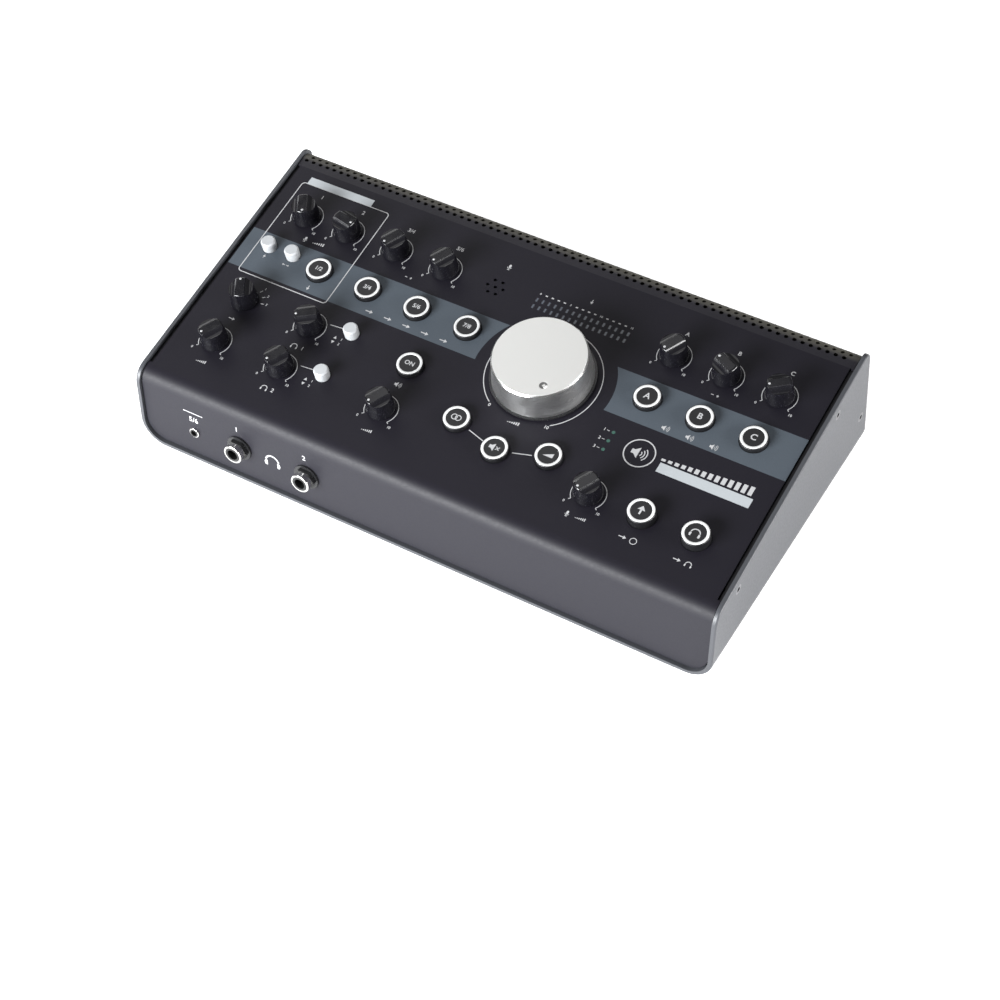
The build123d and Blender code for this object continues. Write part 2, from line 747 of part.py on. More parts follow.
def make_ribbon_lead():
    low, high = ribbon_ends()
    rise = (high[1] - low[1]) / 3
    knee = high[0] + rise * math.sin(slope)
    path = FilletPolyline(low, (low[0], low[1] + rise), (knee, high[1] - rise), high, radius=ribbon_bend)
    strip = Plane.YZ * trace(path, ribbon_thickness)
    ribbon = Pos(ribbon_x, 0, 0) * extrude(strip, amount=ribbon_width / 2, both=True)
    low_header = Pos(ribbon_x, low[0], low[1]) * block(ribbon_width + 2, header_depth, -header_height, 0)
    high_header = on_panel(ribbon_x, ribbon_top_v, -board_top - board) * block(
        ribbon_width + 2, header_depth, -header_height, 0)
    return solids_of([ribbon - low_header - high_header, low_header, high_header])


# --- Controls ------------------------------------------------------------------------------------------------

def make_pot_bodies():
    """Potentiometers of the small knobs and of the volume knob, with the volume one's nut."""
    body = block(pot_size, pot_depth, -board_top, -pot_top) - post(shaft_radius + shaft_clearance, -pot_bore, 0)
    pieces = [on_panel(x, v) * body for x, v, turn in knobs.values()]
    volume = block(volume_pot_size, volume_pot_size, -board_top, -volume_pot_top)
    volume += post(bushing_radius, -volume_pot_top, bushing_top)
    volume -= post(shaft_radius + shaft_clearance, -pot_bore, bushing_top + 1)
    nut = hex_nut(volume_nut_radius, bushing_radius + hub_clearance, 0, volume_nut_height)
    centre = on_panel(volume_x, volume_v)
    return solids_of([*pieces, centre * volume, centre * nut])


def make_key_switches():
    """Key switches under the round buttons and latching switches under the white ones."""
    key = block(key_size, key_size, -board_top, -key_top) - post(key_bore, -key_top - key_bore_depth, 0)
    pieces = [on_panel(x, v) * key for x, v, height in buttons.values()]
    slot = plunger + 2 * plunger_clearance
    latch = block(latch_size, latch_size, -board_top, -latch_top) - block(slot, slot, -latch_bore_end, 0)
    pieces += [on_panel(x, v) * latch for x, v in pushes.values()]
    return solids_of(pieces)


def knob_body():
    """Small knob: a tapered body with a grip bar left between two hollows."""
    body = turned([
        (0, knob_lift), (knob_base_radius, knob_lift), (knob_base_radius, knob_lift + 1),
        (knob_neck_radius, knob_height), (0, knob_height),
    ])
    body = fillet(body.edges().group_by(Axis.Z)[-1], knob_top_round)
    above = knob_scoop_radius - knob_scoop_depth
    aside = knob_bar_half + math.sqrt(knob_scoop_radius ** 2 - above ** 2)
    for side in (-1, 1):
        hollow = Rot(90, 0, 0) * Cylinder(knob_scoop_radius, tall)
        body -= Pos(side * aside, 0, knob_height + above) * hollow
    bore = d_shaft(shaft_radius + hub_clearance, shaft_flat - hub_clearance, 0, knob_bore_top + hub_clearance)
    return body - bore


def make_knob(name):
    """Small knob and its shaft, turned to where the pointer is left."""
    x, v, turn = knobs[name]
    shaft = post(shaft_radius, -shaft_end, 0) + d_shaft(shaft_radius, shaft_flat, 0, knob_bore_top)
    place = on_panel(x, v) * Rot(0, 0, turn)
    return solids_of([place * knob_body(), place * shaft])


def volume_place():
    """Frame of the volume knob, turned to its clockwise stop."""
    return on_panel(volume_x, volume_v) * Rot(0, 0, -volume_stop)


def make_volume_knob():
    inside = volume_base_radius - volume_wall
    ceiling = volume_height - volume_crown
    body = turned([
        (0, ceiling), (inside, ceiling), (inside, volume_lift), (volume_base_radius, volume_lift),
        (volume_top_radius, volume_height - volume_bevel), (volume_top_radius - volume_bevel, volume_height),
        (0, volume_height),
    ])
    ball = (dimple_radius ** 2 + dimple_depth ** 2) / (2 * dimple_depth)
    body -= Pos(0, dimple_offset, volume_height - dimple_depth + ball) * Sphere(ball)
    return volume_place() * body


def make_volume_core():
    """Hub, shaft and skirt that turn with the volume knob."""
    inside = volume_base_radius - volume_wall
    hub = post(inside, hub_lift, volume_height - volume_crown)
    hub -= d_shaft(shaft_radius + hub_clearance, shaft_flat - hub_clearance, 0, hub_top + hub_clearance)
    shaft = post(shaft_radius, -shaft_end, hub_lift) + d_shaft(shaft_radius, shaft_flat, hub_lift, hub_top)
    skirt = tube(skirt_radius, nut_room, skirt_lift, volume_lift)
    place = volume_place()
    return solids_of([place * hub, place * shaft, place * skirt])


def make_button(name):
    """Round button: cap with its light ring, retaining flange and stem."""
    x, v, height = buttons[name]
    flange_top = -sheet - flange_gap
    cap = fillet(post(cap_radius, flange_top, height).edges().group_by(Axis.Z)[-1], cap_round)
    ring = tube(ring_outer, ring_inner, height - ring_depth, height)
    cap += post(flange_radius, flange_top - flange_thickness, flange_top)
    cap += post(stem_radius, -stem_end, flange_top)
    place = on_panel(x, v)
    return solids_of([place * (cap - ring), place * ring])


def make_push(name):
    """White push button with its plunger."""
    cap = post(push_radius, -push_skirt, push_height)
    cap = chamfer(cap.edges().group_by(Axis.Z)[-1], push_bevel)
    x, v = pushes[name]
    return on_panel(x, v) * (cap + block(plunger, plunger, -plunger_end, -push_skirt))


# --- Meter, lights and microphone -------------------------------------------------------------------------------

def meter_places():
    return [(meter_x + meter_pitch * column, v) for column in range(meter_columns) for v in (meter_upper_v, meter_lower_v)]


def status_places():
    return [(status_x, status_v - status_pitch * step) for step in range(3)]


def mic_places():
    """Seven holes: one in the middle of a ring of six."""
    ring = [math.radians(60 * step) for step in range(6)]
    return [(mic_x, mic_v)] + [
        (mic_x + mic_hole_pitch * math.cos(angle), mic_v + mic_hole_pitch * math.sin(angle)) for angle in ring]


def make_meter_windows():
    """Meter windows, and the three status lights that stand on the main board."""
    window = block(window_width, window_height, -window_depth, 0)
    lights = [on_panel(x, v) * post(status_radius, -board_top, 0) for x, v in status_places()]
    return solids_of([*[on_panel(x, v) * window for x, v in meter_places()], *lights])


def make_meter_block():
    """Light block between the meter windows and the main board."""
    width = meter_pitch * meter_columns
    centre_x = meter_x + meter_pitch * (meter_columns - 1) / 2
    centre_v = (meter_upper_v + meter_lower_v) / 2
    depth = meter_upper_v - meter_lower_v + 2 * window_height
    return on_panel(centre_x, centre_v) * block(width, depth, -board_top, -window_depth)


def make_talkback_mic():
    """Microphone capsule in its rubber boot."""
    capsule = post(capsule_radius, -capsule_end, -capsule_top)
    boot = post(boot_radius, -board_top, -sheet) - post(capsule_radius, -capsule_end, 0)
    place = on_panel(mic_x, mic_v)
    return solids_of([place * capsule, place * boot])


# --- Connectors ------------------------------------------------------------------------------------------------

def line_jack_places():
    """Rear jacks: left above right in each pair, and one for the footswitch."""
    places = [(x, height) for x in pair_columns.values() for height in (upper_jack, lower_jack)]
    return [*places, (footswitch_x, lower_jack)]


def jack(nose):
    """6.35 mm jack along Z, with the sheet's outer face at zero."""
    body = block(jack_body, jack_body, -sheet - jack_depth, -sheet) + post(jack_thread, -sheet, nose)
    return body - post(jack_bore, -sheet - jack_depth + jack_wall_end, nose + 1)


def make_line_jacks():
    return solids_of([on_rear(x, height) * jack(line_nose) for x, height in line_jack_places()])


def make_line_jack_nuts():
    nut = hex_nut(nut_radius, jack_thread + hub_clearance, 0, nut_height)
    return solids_of([on_rear(x, height) * nut for x, height in line_jack_places()])


def make_phone_jacks():
    return solids_of([on_front(x, phones_jack_height) * jack(phone_nose) for x in phones_jack_x])


def make_phone_jack_collars():
    """Dark washer and nut around each headphone jack."""
    bore = jack_thread + hub_clearance
    collar = hex_nut(collar_radius, bore, washer_height, washer_height + collar_height)
    places = [on_front(x, phones_jack_height) for x in phones_jack_x]
    washer = tube(washer_radius, bore, 0, washer_height)
    return solids_of([*[place * collar for place in places], *[place * washer for place in places]])


def make_jack_ferrules():
    """Chromed ferrules of the headphone jacks and the ring of the small jack."""
    ferrule = tube(ferrule_radius, jack_thread + hub_clearance, washer_height + collar_height, phone_nose)
    ferrule = fillet(ferrule.edges().group_by(Axis.Z)[-1].sort_by(SortBy.LENGTH)[-1], cap_round)
    ring = tube(mini_ring, mini_thread + hub_clearance, 0, mini_ring_height)
    ring = fillet(ring.edges().group_by(Axis.Z)[-1].sort_by(SortBy.LENGTH)[-1], cap_round)
    pieces = [on_front(x, phones_jack_height) * ferrule for x in phones_jack_x]
    return solids_of([*pieces, on_front(mini_x, mini_height) * ring])


def make_mini_jack():
    body = block(mini_body, mini_body, -sheet - jack_depth, -sheet) + post(mini_thread, -sheet, mini_nose)
    return on_front(mini_x, mini_height) * (body - post(mini_bore, -sheet - mini_depth, mini_nose + 1))


def make_combo_sockets():
    """Combination sockets: a 6.35 mm bore and three contact holes in a core, in a round well."""
    flange = Box(combo_flange_width, combo_flange_height, combo_flange)
    body = Pos(0, 0, combo_flange / 2) * fillet(flange.edges().filter_by(Axis.Z), 3)
    body += post(combo_body, -sheet - jack_depth, 0)
    body -= tube(combo_ring, combo_core, combo_flange - combo_ring_depth, combo_flange + 1)
    body -= post(jack_bore, -sheet - jack_depth + jack_wall_end, combo_flange + 1)
    for angle in (90, 210, 330):
        contact = Rot(0, 0, angle) * Pos(combo_contact_circle, 0, 0)
        body -= contact * post(combo_contact, combo_flange - combo_ring_depth, combo_flange + 1)
    return solids_of([on_rear(x, combo_height) * body for x in combo_x])


def socket_place(x, height):
    """Frame at the mouth of a socket that lies on the base board, with Z pointing to the rear."""
    board_face = floor_z + base_height + board
    mouth = rear_face_y(board_face) + socket_proud
    return Pos(x, mouth, board_face + height / 2) * Rot(-90, 0, 0)


def make_usb_socket():
    body = block(usb_width, usb_height, -usb_length, 0)
    body -= block(usb_cavity_width, usb_cavity_height, -usb_cavity_depth, 1)
    return socket_place(usb_x, usb_height) * body


def make_power_inlet():
    """Power inlet with a threaded locking nose around its pin."""
    body = block(inlet_width, inlet_height, -inlet_length, 0) + post(inlet_thread, 0, inlet_nose)
    body -= tube(inlet_bore, inlet_pin, inlet_nose - inlet_depth, inlet_nose + 1)
    body -= post(inlet_pin + 0.1, inlet_nose - 0.5, inlet_nose + 1)
    return socket_place(inlet_x, inlet_height) * body


def switch_place():
    return on_rear(switch_x, switch_height)


def make_power_switch():
    """Housing of the power switch, with bearings for the rocker's pins."""
    housing = block(switch_width, switch_tall, -switch_depth, 0)
    housing += block(switch_width + 2 * bezel_margin, switch_tall + 2 * bezel_margin, 0, bezel)
    room = rocker_radius + rocker_clearance
    housing -= block(rocker_width + 2 * rocker_clearance, 2 * room, -rocker_pivot - room, bezel + 1)
    reach = rocker_width / 2 + rocker_pin_length + 0.2
    housing -= Pos(0, 0, -rocker_pivot) * Rot(0, 90, 0) * Cylinder(rocker_pin + shaft_clearance, 2 * reach)
    return switch_place() * housing


def make_power_rocker():
    """Rocker with a shallow V across its face, tilted to its off side; it turns about its pins."""
    middle = rocker_pivot + bezel + rocker_crest
    end = middle + rocker_radius * math.tan(math.radians(rocker_dish))
    low = -rocker_pin - 2
    side = [(-rocker_radius, low), (rocker_radius, low), (rocker_radius, end), (0, middle), (-rocker_radius, end)]
    body = extrude(Plane.YZ * make_face(Polyline(*side, close=True)), amount=rocker_width / 2, both=True)
    body &= Rot(0, 90, 0) * Cylinder(rocker_radius, rocker_width)
    body += Rot(0, 90, 0) * Cylinder(rocker_pin, rocker_width + 2 * rocker_pin_length)
    return switch_place() * Pos(0, 0, -rocker_pivot) * Rot(rocker_tilt, 0, 0) * body


# --- Write the nodes ---------------------------------------------------------------------------------------------

def all_nodes():
    nodes = {
        "outer_shell": make_outer_shell(),
        "top_panel": make_top_panel(),
        "vent_cover": make_vent_cover(),
        "rear_panel": make_rear_panel(),
        "side_brackets": make_side_brackets(),
        "main_board": make_main_board(),
        "base_board": make_base_board(),
        "jack_boards": make_jack_boards(),
        "board_fixings": make_board_fixings(),
        "case_screws": make_case_screws(),
        "rubber_feet": make_rubber_feet(),
        "ribbon_lead": make_ribbon_lead(),
        "pot_bodies": make_pot_bodies(),
        "key_switches": make_key_switches(),
        "meter_windows": make_meter_windows(),
        "meter_block": make_meter_block(),
        "talkback_mic": make_talkback_mic(),
        "line_jacks": make_line_jacks(),
        "line_jack_nuts": make_line_jack_nuts(),
        "combo_sockets": make_combo_sockets(),
        "usb_socket": make_usb_socket(),
        "power_inlet": make_power_inlet(),
        "power_switch": make_power_switch(),
        "power_rocker": make_power_rocker(),
        "phone_jacks": make_phone_jacks(),
        "phone_jack_collars": make_phone_jack_collars(),
        "jack_ferrules": make_jack_ferrules(),
        "mini_jack": make_mini_jack(),
        "volume_knob": make_volume_knob(),
        "volume_core": make_volume_core(),
    }
    nodes.update({name: make_knob(name) for name in knobs})
    nodes.update({name: make_button(name) for name in buttons})
    nodes.update({name: make_push(name) for name in pushes})
    return nodes


def write_nodes():
    os.makedirs("parts", exist_ok=True)
    for name, shape in all_nodes().items():
        export_step(shape, f"parts/{name}.step")


write_nodes()
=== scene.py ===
import json
import math

import bmesh
import bpy
from mathutils import Matrix, Vector


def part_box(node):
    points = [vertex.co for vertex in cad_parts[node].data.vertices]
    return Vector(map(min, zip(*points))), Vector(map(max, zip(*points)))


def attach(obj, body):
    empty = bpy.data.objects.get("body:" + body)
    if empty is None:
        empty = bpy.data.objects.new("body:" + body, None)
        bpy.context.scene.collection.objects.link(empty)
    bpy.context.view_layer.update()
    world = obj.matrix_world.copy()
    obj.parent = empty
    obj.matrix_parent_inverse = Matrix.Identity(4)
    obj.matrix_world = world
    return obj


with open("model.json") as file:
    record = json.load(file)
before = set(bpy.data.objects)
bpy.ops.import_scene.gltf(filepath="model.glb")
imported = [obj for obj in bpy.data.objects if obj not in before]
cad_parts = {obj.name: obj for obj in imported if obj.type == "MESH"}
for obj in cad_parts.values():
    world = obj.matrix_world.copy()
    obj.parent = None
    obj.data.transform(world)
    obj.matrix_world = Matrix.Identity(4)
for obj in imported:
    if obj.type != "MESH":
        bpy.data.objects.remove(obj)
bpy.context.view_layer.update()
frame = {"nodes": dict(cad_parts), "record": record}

# A desktop studio monitor controller: its finishes, its printing and the small things that the solids
# leave out. The world is in metres. Printing and trim are in millimetres on three faces: the sloped panel,
# the front face and the rear panel. On each, x runs to the right of who looks at it, and y up the face.

MM = 0.001

# --- The three faces --------------------------------------------------------------------------------

PANEL_SLOPE = math.radians(10.1)
FRONT_LEAN = math.radians(4.5)
REAR_LEAN = math.radians(6.0)
PANEL_ROW = (0.0, 10.6, 69.25)      # middle of the main row of buttons
FOOT_HEIGHT = 3.0
HALF_DEPTH = 94.5
FACE_RECESS = 1.8
REAR_RECESS = 1.2


def face_frame(origin, outward, right):
    """Matrix from a face's millimetres to the world, with Z standing out of the face."""
    outward = Vector(outward).normalized()
    right = Vector(right).normalized()
    up = outward.cross(right)
    turn = Matrix((right, up, outward)).transposed().to_4x4()
    return Matrix.Translation(Vector(origin) * MM) @ turn @ Matrix.Scale(MM, 4)


PANEL = face_frame(PANEL_ROW, (0, -math.sin(PANEL_SLOPE), math.cos(PANEL_SLOPE)), (1, 0, 0))
FRONT = face_frame(
    (0, FACE_RECESS / math.cos(FRONT_LEAN) - HALF_DEPTH, FOOT_HEIGHT),
    (0, -math.cos(FRONT_LEAN), math.sin(FRONT_LEAN)), (1, 0, 0))
REAR = face_frame(
    (0, HALF_DEPTH - REAR_RECESS / math.cos(REAR_LEAN), FOOT_HEIGHT),
    (0, math.cos(REAR_LEAN), math.sin(REAR_LEAN)), (-1, 0, 0))

# --- Controls on the panel --------------------------------------------------------------------------

ROW_TOP, ROW_UPPER, ROW_LOWER = 30.6, -34.7, -65.3      # the main row of buttons is at 0
FAR_LEFT = -149.4
LAST_SOURCE, SOURCE_PITCH = -24.4, 32.3
SOURCES = [LAST_SOURCE - SOURCE_PITCH * step for step in (3, 2, 1, 0)]
MIDDLE_MONITOR, MONITOR_PITCH = 117.4, 31.0
MONITORS = [MIDDLE_MONITOR + MONITOR_PITCH * step for step in (-1, 0, 1)]
PHONES_X, PHONES_PUSH_X, STUDIO_X = -105.8, -81.3, -40.3
VOLUME, VOLUME_HEIGHT = Vector((28.9, -10.2)), 18.6
FUNCTION_ARC, FUNCTION_TURN = 52.4, math.radians(32.3)
KNOB_HEIGHT, KNOB_STOP = 13.0, 150
# Name, place, and the way its pointer is left, in degrees from straight up.
KNOBS = {
    "gain_1_knob": (FAR_LEFT, ROW_TOP, -KNOB_STOP),
    "gain_2_knob": (SOURCES[0], ROW_TOP, -101),
    "trim_34_knob": (SOURCES[1], ROW_TOP, KNOB_STOP),
    "trim_56_knob": (SOURCES[2], ROW_TOP, KNOB_STOP),
    "trim_a_knob": (MONITORS[0], ROW_TOP, KNOB_STOP),
    "trim_b_knob": (MONITORS[1], ROW_TOP, 64),
    "trim_c_knob": (MONITORS[2], ROW_TOP, 124),
    "cue_knob": (FAR_LEFT, ROW_UPPER, 30),
    "direct_knob": (FAR_LEFT, ROW_LOWER, KNOB_STOP),
    "phones_1_knob": (PHONES_X, ROW_UPPER, 123),
    "phones_2_knob": (PHONES_X, ROW_LOWER, KNOB_STOP),
    "studio_knob": (STUDIO_X, ROW_LOWER, KNOB_STOP),
    "talkback_knob": (MONITORS[0], ROW_LOWER, KNOB_STOP),
}


def on_function_arc(turn):
    """Place around the volume knob, by its angle from straight down."""
    return VOLUME + FUNCTION_ARC * Vector((math.sin(turn), -math.cos(turn)))


MONO_PLACE, MUTE_PLACE, DIM_PLACE = [
    on_function_arc(turn) for turn in (-FUNCTION_TURN, 0, FUNCTION_TURN)]
CAP, TALK_CAP = 3.0, 5.5
# Name, place, height of the cap, and what is printed on it: words, or the name of a sign.
BUTTONS = {
    "source_12_button": (SOURCES[0], 0, CAP, "1/2"),
    "source_34_button": (SOURCES[1], 0, CAP, "3/4"),
    "source_56_button": (SOURCES[2], 0, CAP, "5/6"),
    "source_usb_button": (SOURCES[3], 0, CAP, "7/8"),
    "monitor_a_button": (MONITORS[0], 0, CAP, "A"),
    "monitor_b_button": (MONITORS[1], 0, CAP, "B"),
    "monitor_c_button": (MONITORS[2], 0, CAP, "C"),
    "studio_button": (STUDIO_X, ROW_UPPER, CAP, "ON"),
    "mono_button": (*MONO_PLACE, CAP, "joined_circles"),
    "mute_button": (*MUTE_PLACE, CAP, "crossed_speaker"),
    "dim_button": (*DIM_PLACE, CAP, "short_wedge"),
    "talk_track_button": (MONITORS[1], ROW_LOWER, TALK_CAP, "up_arrow"),
    "talk_cue_button": (MONITORS[2], ROW_LOWER, TALK_CAP, "headphones"),
}
STATUS_X, STATUS_TOP, STATUS_PITCH = 80.0, -26.2, 5.8
METER_X, METER_PITCH, METER_COLUMNS = 0.6, 3.77, 16

# --- Jacks and sockets ------------------------------------------------------------------------------

JACK_BORE_RADIUS = 3.25
PHONES_JACKS, PHONES_JACK_HEIGHT = (-111.6, -67.3), 22.9
MINI_JACK = (-142.3, 19.6)
REAR_UPPER, REAR_LOWER = 54.5, 31.0
STEREO_INPUTS = {"3": 88.0, "5": 66.0}      # number of the upper jack: x of its column
OUTPUTS = {"1": 40.0, "2": 18.0, "A": -12.0, "B": -34.0, "C": -56.0}
FOOTSWITCH_X = -82.0
COMBOS, COMBO_HEIGHT = (152.0, 118.0), 40.0
POWER_SWITCH = (-150.0, 38.0)
USB_X = 108.0                               # in the world, so to the right of who sits at the front


# --- Shader sums ------------------------------------------------------------------------------------

class Amount:
    """A number that varies over a surface: a node socket that takes part in sums."""

    def __init__(self, finish, socket):
        self.finish = finish
        self.socket = socket

    def sum(self, operation, first, second):
        return self.finish.node("ShaderNodeMath", {"operation": operation}, {0: first, 1: second})

    def __add__(self, other):
        return self.sum("ADD", self, other)

    def __radd__(self, other):
        return self.sum("ADD", other, self)

    def __sub__(self, other):
        return self.sum("SUBTRACT", self, other)

    def __rsub__(self, other):
        return self.sum("SUBTRACT", other, self)

    def __mul__(self, other):
        return self.sum("MULTIPLY", self, other)

    def __rmul__(self, other):
        return self.sum("MULTIPLY", other, self)

    def __gt__(self, other):
        return self.sum("GREATER_THAN", self, other)

    def __lt__(self, other):
        return self.sum("LESS_THAN", self, other)


class Finish:
    """One material, built up around its Principled shader."""

    def __init__(self, name, colour, roughness, metallic=0.0, **sockets):
        self.material = bpy.data.materials.new(name)
        self.material.use_nodes = True
        self.tree = self.material.node_tree
        self.shader = self.tree.nodes["Principled BSDF"]
        self.colour = colour
        self.set("Base Color", (*colour, 1.0))
        self.set("Roughness", roughness)
        self.set("Metallic", metallic)
        for socket, value in sockets.items():
            self.set(socket.replace("_", " "), value)

    def node(self, kind, settings, sockets, out=0):
        """Any node: its settings first, then the values or links of its sockets."""
        made = self.tree.nodes.new(kind)
        for setting, value in settings.items():
            setattr(made, setting, value)
        for socket, value in sockets.items():
            self.feed(made.inputs[socket], value)
        return Amount(self, made.outputs[out])

    def feed(self, socket, value):
        if isinstance(value, Amount):
            self.tree.links.new(value.socket, socket)
        else:
            socket.default_value = value

    def set(self, socket, value):
        self.feed(self.shader.inputs[socket], value)

    def place(self):
        """Position on the object at rest, in metres."""
        return self.node("ShaderNodeTexCoord", {}, {}, "Object")

    def along(self, origin, direction):
        """Distance of each point from a plane through the origin, in millimetres."""
        offset = self.node(
            "ShaderNodeVectorMath", {"operation": "SUBTRACT"}, {0: self.place(), 1: origin})
        reach = self.node(
            "ShaderNodeVectorMath", {"operation": "DOT_PRODUCT"}, {0: offset, 1: direction}, "Value")
        return reach * (1 / MM)

    def on_face(self, face, axis):
        """Distance along one axis of a face from its origin, in millimetres."""
        return self.along(face.translation, face.col[axis].xyz.normalized())

    def around(self, face, x, y):
        """Distance from an axis that stands on a face, in millimetres."""
        origin = face @ Vector((x, y, 0))
        right = self.along(origin, face.col[0].xyz.normalized())
        up = self.along(origin, face.col[1].xyz.normalized())
        return self.node("ShaderNodeMath", {"operation": "SQRT"}, {0: right * right + up * up})

    def noise(self, size, detail=3.0, rough=0.5):
        """Cloudy pattern with patches of the given size in millimetres."""
        return self.node("ShaderNodeTexNoise", {}, {
            "Vector": self.place(), "Scale": 1 / (size * MM), "Detail": detail, "Roughness": rough})

    def fade(self, value, start, end, low=0.0, high=1.0):
        """Smooth change from low to high while the value goes from start to end."""
        return self.node("ShaderNodeMapRange", {"interpolation_type": "SMOOTHSTEP"}, {
            "Value": value, "From Min": start, "From Max": end, "To Min": low, "To Max": high})

    def blend(self, share, first, second):
        """Colour between two colours."""
        return self.node("ShaderNodeMix", {"data_type": "RGBA"}, {0: share, 6: first, 7: second}, 2)

    def tint(self, share, colour):
        """Mixes a colour into the base colour so far."""
        base = self.shader.inputs["Base Color"]
        so_far = Amount(self, base.links[0].from_socket) if base.links else tuple(base.default_value)
        self.set("Base Color", self.blend(share, so_far, (*colour, 1.0)))

    def shade(self, share, factor):
        """Mixes in the finish's own colour, made paler or darker."""
        self.tint(share, tuple(factor * part for part in self.colour))

    def grain(self, height, depth):
        """Relief, with its depth in millimetres."""
        relief = self.node(
            "ShaderNodeBump", {}, {"Height": height, "Distance": depth * MM, "Strength": 1.0})
        self.set("Normal", relief)


# --- Finishes ---------------------------------------------------------------------------------------

SHELL_COLOUR = (0.044, 0.046, 0.052)
PANEL_COLOUR = (0.0070, 0.0062, 0.0100)
# Painted light: the front face is tinted paler than the panel to stand for the light it catches.
FASCIA_PAINTED_LIGHT_COLOUR = (0.0135, 0.0130, 0.0175)
FASCIA_PAINTED_LIGHT_FADE = (-1.2, -0.1)                  # behind the front face, on the bend above it
BAND_COLOUR = (0.058, 0.070, 0.084)
BAND_LOW, BAND_HIGH, BAND_REACH = -15.8, 12.0, 173.8
BAND_GAP_RADIUS = 39.9
# Painted highlight: warm grey on the vent's punched edges where the rear bend catches the light.
VENT_EDGE_HIGHLIGHT_COLOUR = (0.090, 0.085, 0.070)
VENT_BEND = (66.0, 72.0)                    # up the slope
FACE_TOP, FACE_LOW, BEVEL_TOP, BEVEL_LOW = 0.05, 0.15, 0.75, 1.0    # below the top of the volume knob
METER_LOW = 25                              # up the slope, above all status lights
SPANGLE, TRACK_PITCH, WIRE_PITCH = 3.5, 5, 1.27


def textured_paint(name, colour, roughness, pimple=0.55, depth=0.03, **sockets):
    """Powder paint: fine pimples, faint clouding of the colour and an uneven sheen."""
    paint = Finish(name, colour, roughness, **sockets)
    paint.shade(paint.fade(paint.noise(60, 2), 0.35, 0.75, 0.0, 0.25), 1.15)
    paint.shade(paint.fade(paint.noise(0.35, 2), 0.62, 0.8, 0.0, 0.5), 1.7)
    paint.set("Roughness", paint.fade(paint.noise(1.4, 3), 0.3, 0.7, roughness - 0.02, roughness + 0.03))
    paint.grain(paint.noise(pimple, 2) + 0.35 * paint.noise(3 * pimple, 2), depth)
    return paint


def panel_paint():
    """Charcoal with a grey band that opens around the volume knob; painted light makes the front face
    paler.
    """
    paint = textured_paint("panel_paint", PANEL_COLOUR, 0.50, 0.45, 0.008, Specular_IOR_Level=0.22)
    up = paint.on_face(PANEL, 1)
    right = paint.on_face(PANEL, 0)
    within = (up > BAND_LOW) * (up < BAND_HIGH) * (paint.around(PANEL, *VOLUME) > BAND_GAP_RADIUS)
    within = within * (right > -BAND_REACH) * (right < BAND_REACH)
    mottle = paint.fade(paint.noise(0.5, 2), 0.3, 0.7, 0.93, 1.0)
    paint.tint(within * mottle, BAND_COLOUR)
    # Painted light: the front face, and the foot of the bend above it, tinted paler as if lit.
    paint.tint(paint.fade(paint.on_face(FRONT, 2), *FASCIA_PAINTED_LIGHT_FADE), FASCIA_PAINTED_LIGHT_COLOUR)
    return paint


def vent_paint():
    """The same paint on the vent cover, with a painted highlight in warm grey at the punched edges of the
    rear bend.
    """
    paint = textured_paint("vent_paint", PANEL_COLOUR, 0.50, 0.45, 0.010, Specular_IOR_Level=0.4)
    edge_pointiness = paint.node("ShaderNodeNewGeometry", {}, {}, "Pointiness")
    edge = paint.fade(edge_pointiness, 0.51, 0.56)
    bend = paint.fade(paint.on_face(PANEL, 1), *VENT_BEND)
    # Painted highlight on the punched edges, only along the rear bend.
    paint.tint(edge * bend, VENT_EDGE_HIGHLIGHT_COLOUR)
    return paint


def turned_aluminium():
    """Satin face with fine turning rings, a brighter bevel and a side turned across."""
    metal = Finish("turned_aluminium", (0.80, 0.80, 0.79), 0.34, 1.0)
    height = metal.on_face(PANEL, 2)
    ridges = metal.node("ShaderNodeTexNoise", {"noise_dimensions": "1D"}, {
        "W": metal.around(PANEL, *VOLUME) * 3.2 + height * 5.1, "Scale": 1.0, "Detail": 4.0,
        "Roughness": 0.7})
    face = metal.fade(height, VOLUME_HEIGHT - FACE_LOW, VOLUME_HEIGHT - FACE_TOP)
    bevel = metal.fade(height, VOLUME_HEIGHT - BEVEL_LOW, VOLUME_HEIGHT - BEVEL_TOP) * (1 - face)
    satin = metal.fade(ridges, 0.3, 0.7, 0.27, 0.36)
    metal.set("Roughness", satin + 0.16 * face - 0.14 * bevel)
    metal.tint(metal.fade(ridges, 0.35, 0.65, 0.0, 0.25), (0.66, 0.66, 0.66))
    metal.tint(face, (0.90, 0.90, 0.88))
    metal.grain(ridges, 0.006)
    return metal


def moulding(name, colour, roughness, grain_size=0.4, depth=0.01, **sockets):
    """Moulded plastic: fine grain, faint flow marks and handling sheen."""
    plastic = Finish(name, colour, roughness, **sockets)
    sheen = plastic.fade(plastic.noise(6, 3), 0.3, 0.7, roughness - 0.05, roughness + 0.06)
    plastic.set("Roughness", sheen)
    plastic.shade(plastic.fade(plastic.noise(14, 2), 0.4, 0.75, 0.0, 0.3), 1.3)
    plastic.grain(plastic.noise(grain_size, 2), depth)
    return plastic


def plated(name, colour, roughness, **sockets):
    """Plated metal with faint polishing haze."""
    metal = Finish(name, colour, roughness, 1.0, **sockets)
    metal.set("Roughness", metal.fade(metal.noise(2.5, 3), 0.35, 0.7, roughness, roughness + 0.10))
    metal.shade(metal.fade(metal.noise(4, 2), 0.5, 0.8, 0.0, 0.3), 0.7)
    metal.grain(metal.noise(0.5, 2), 0.002)
    return metal


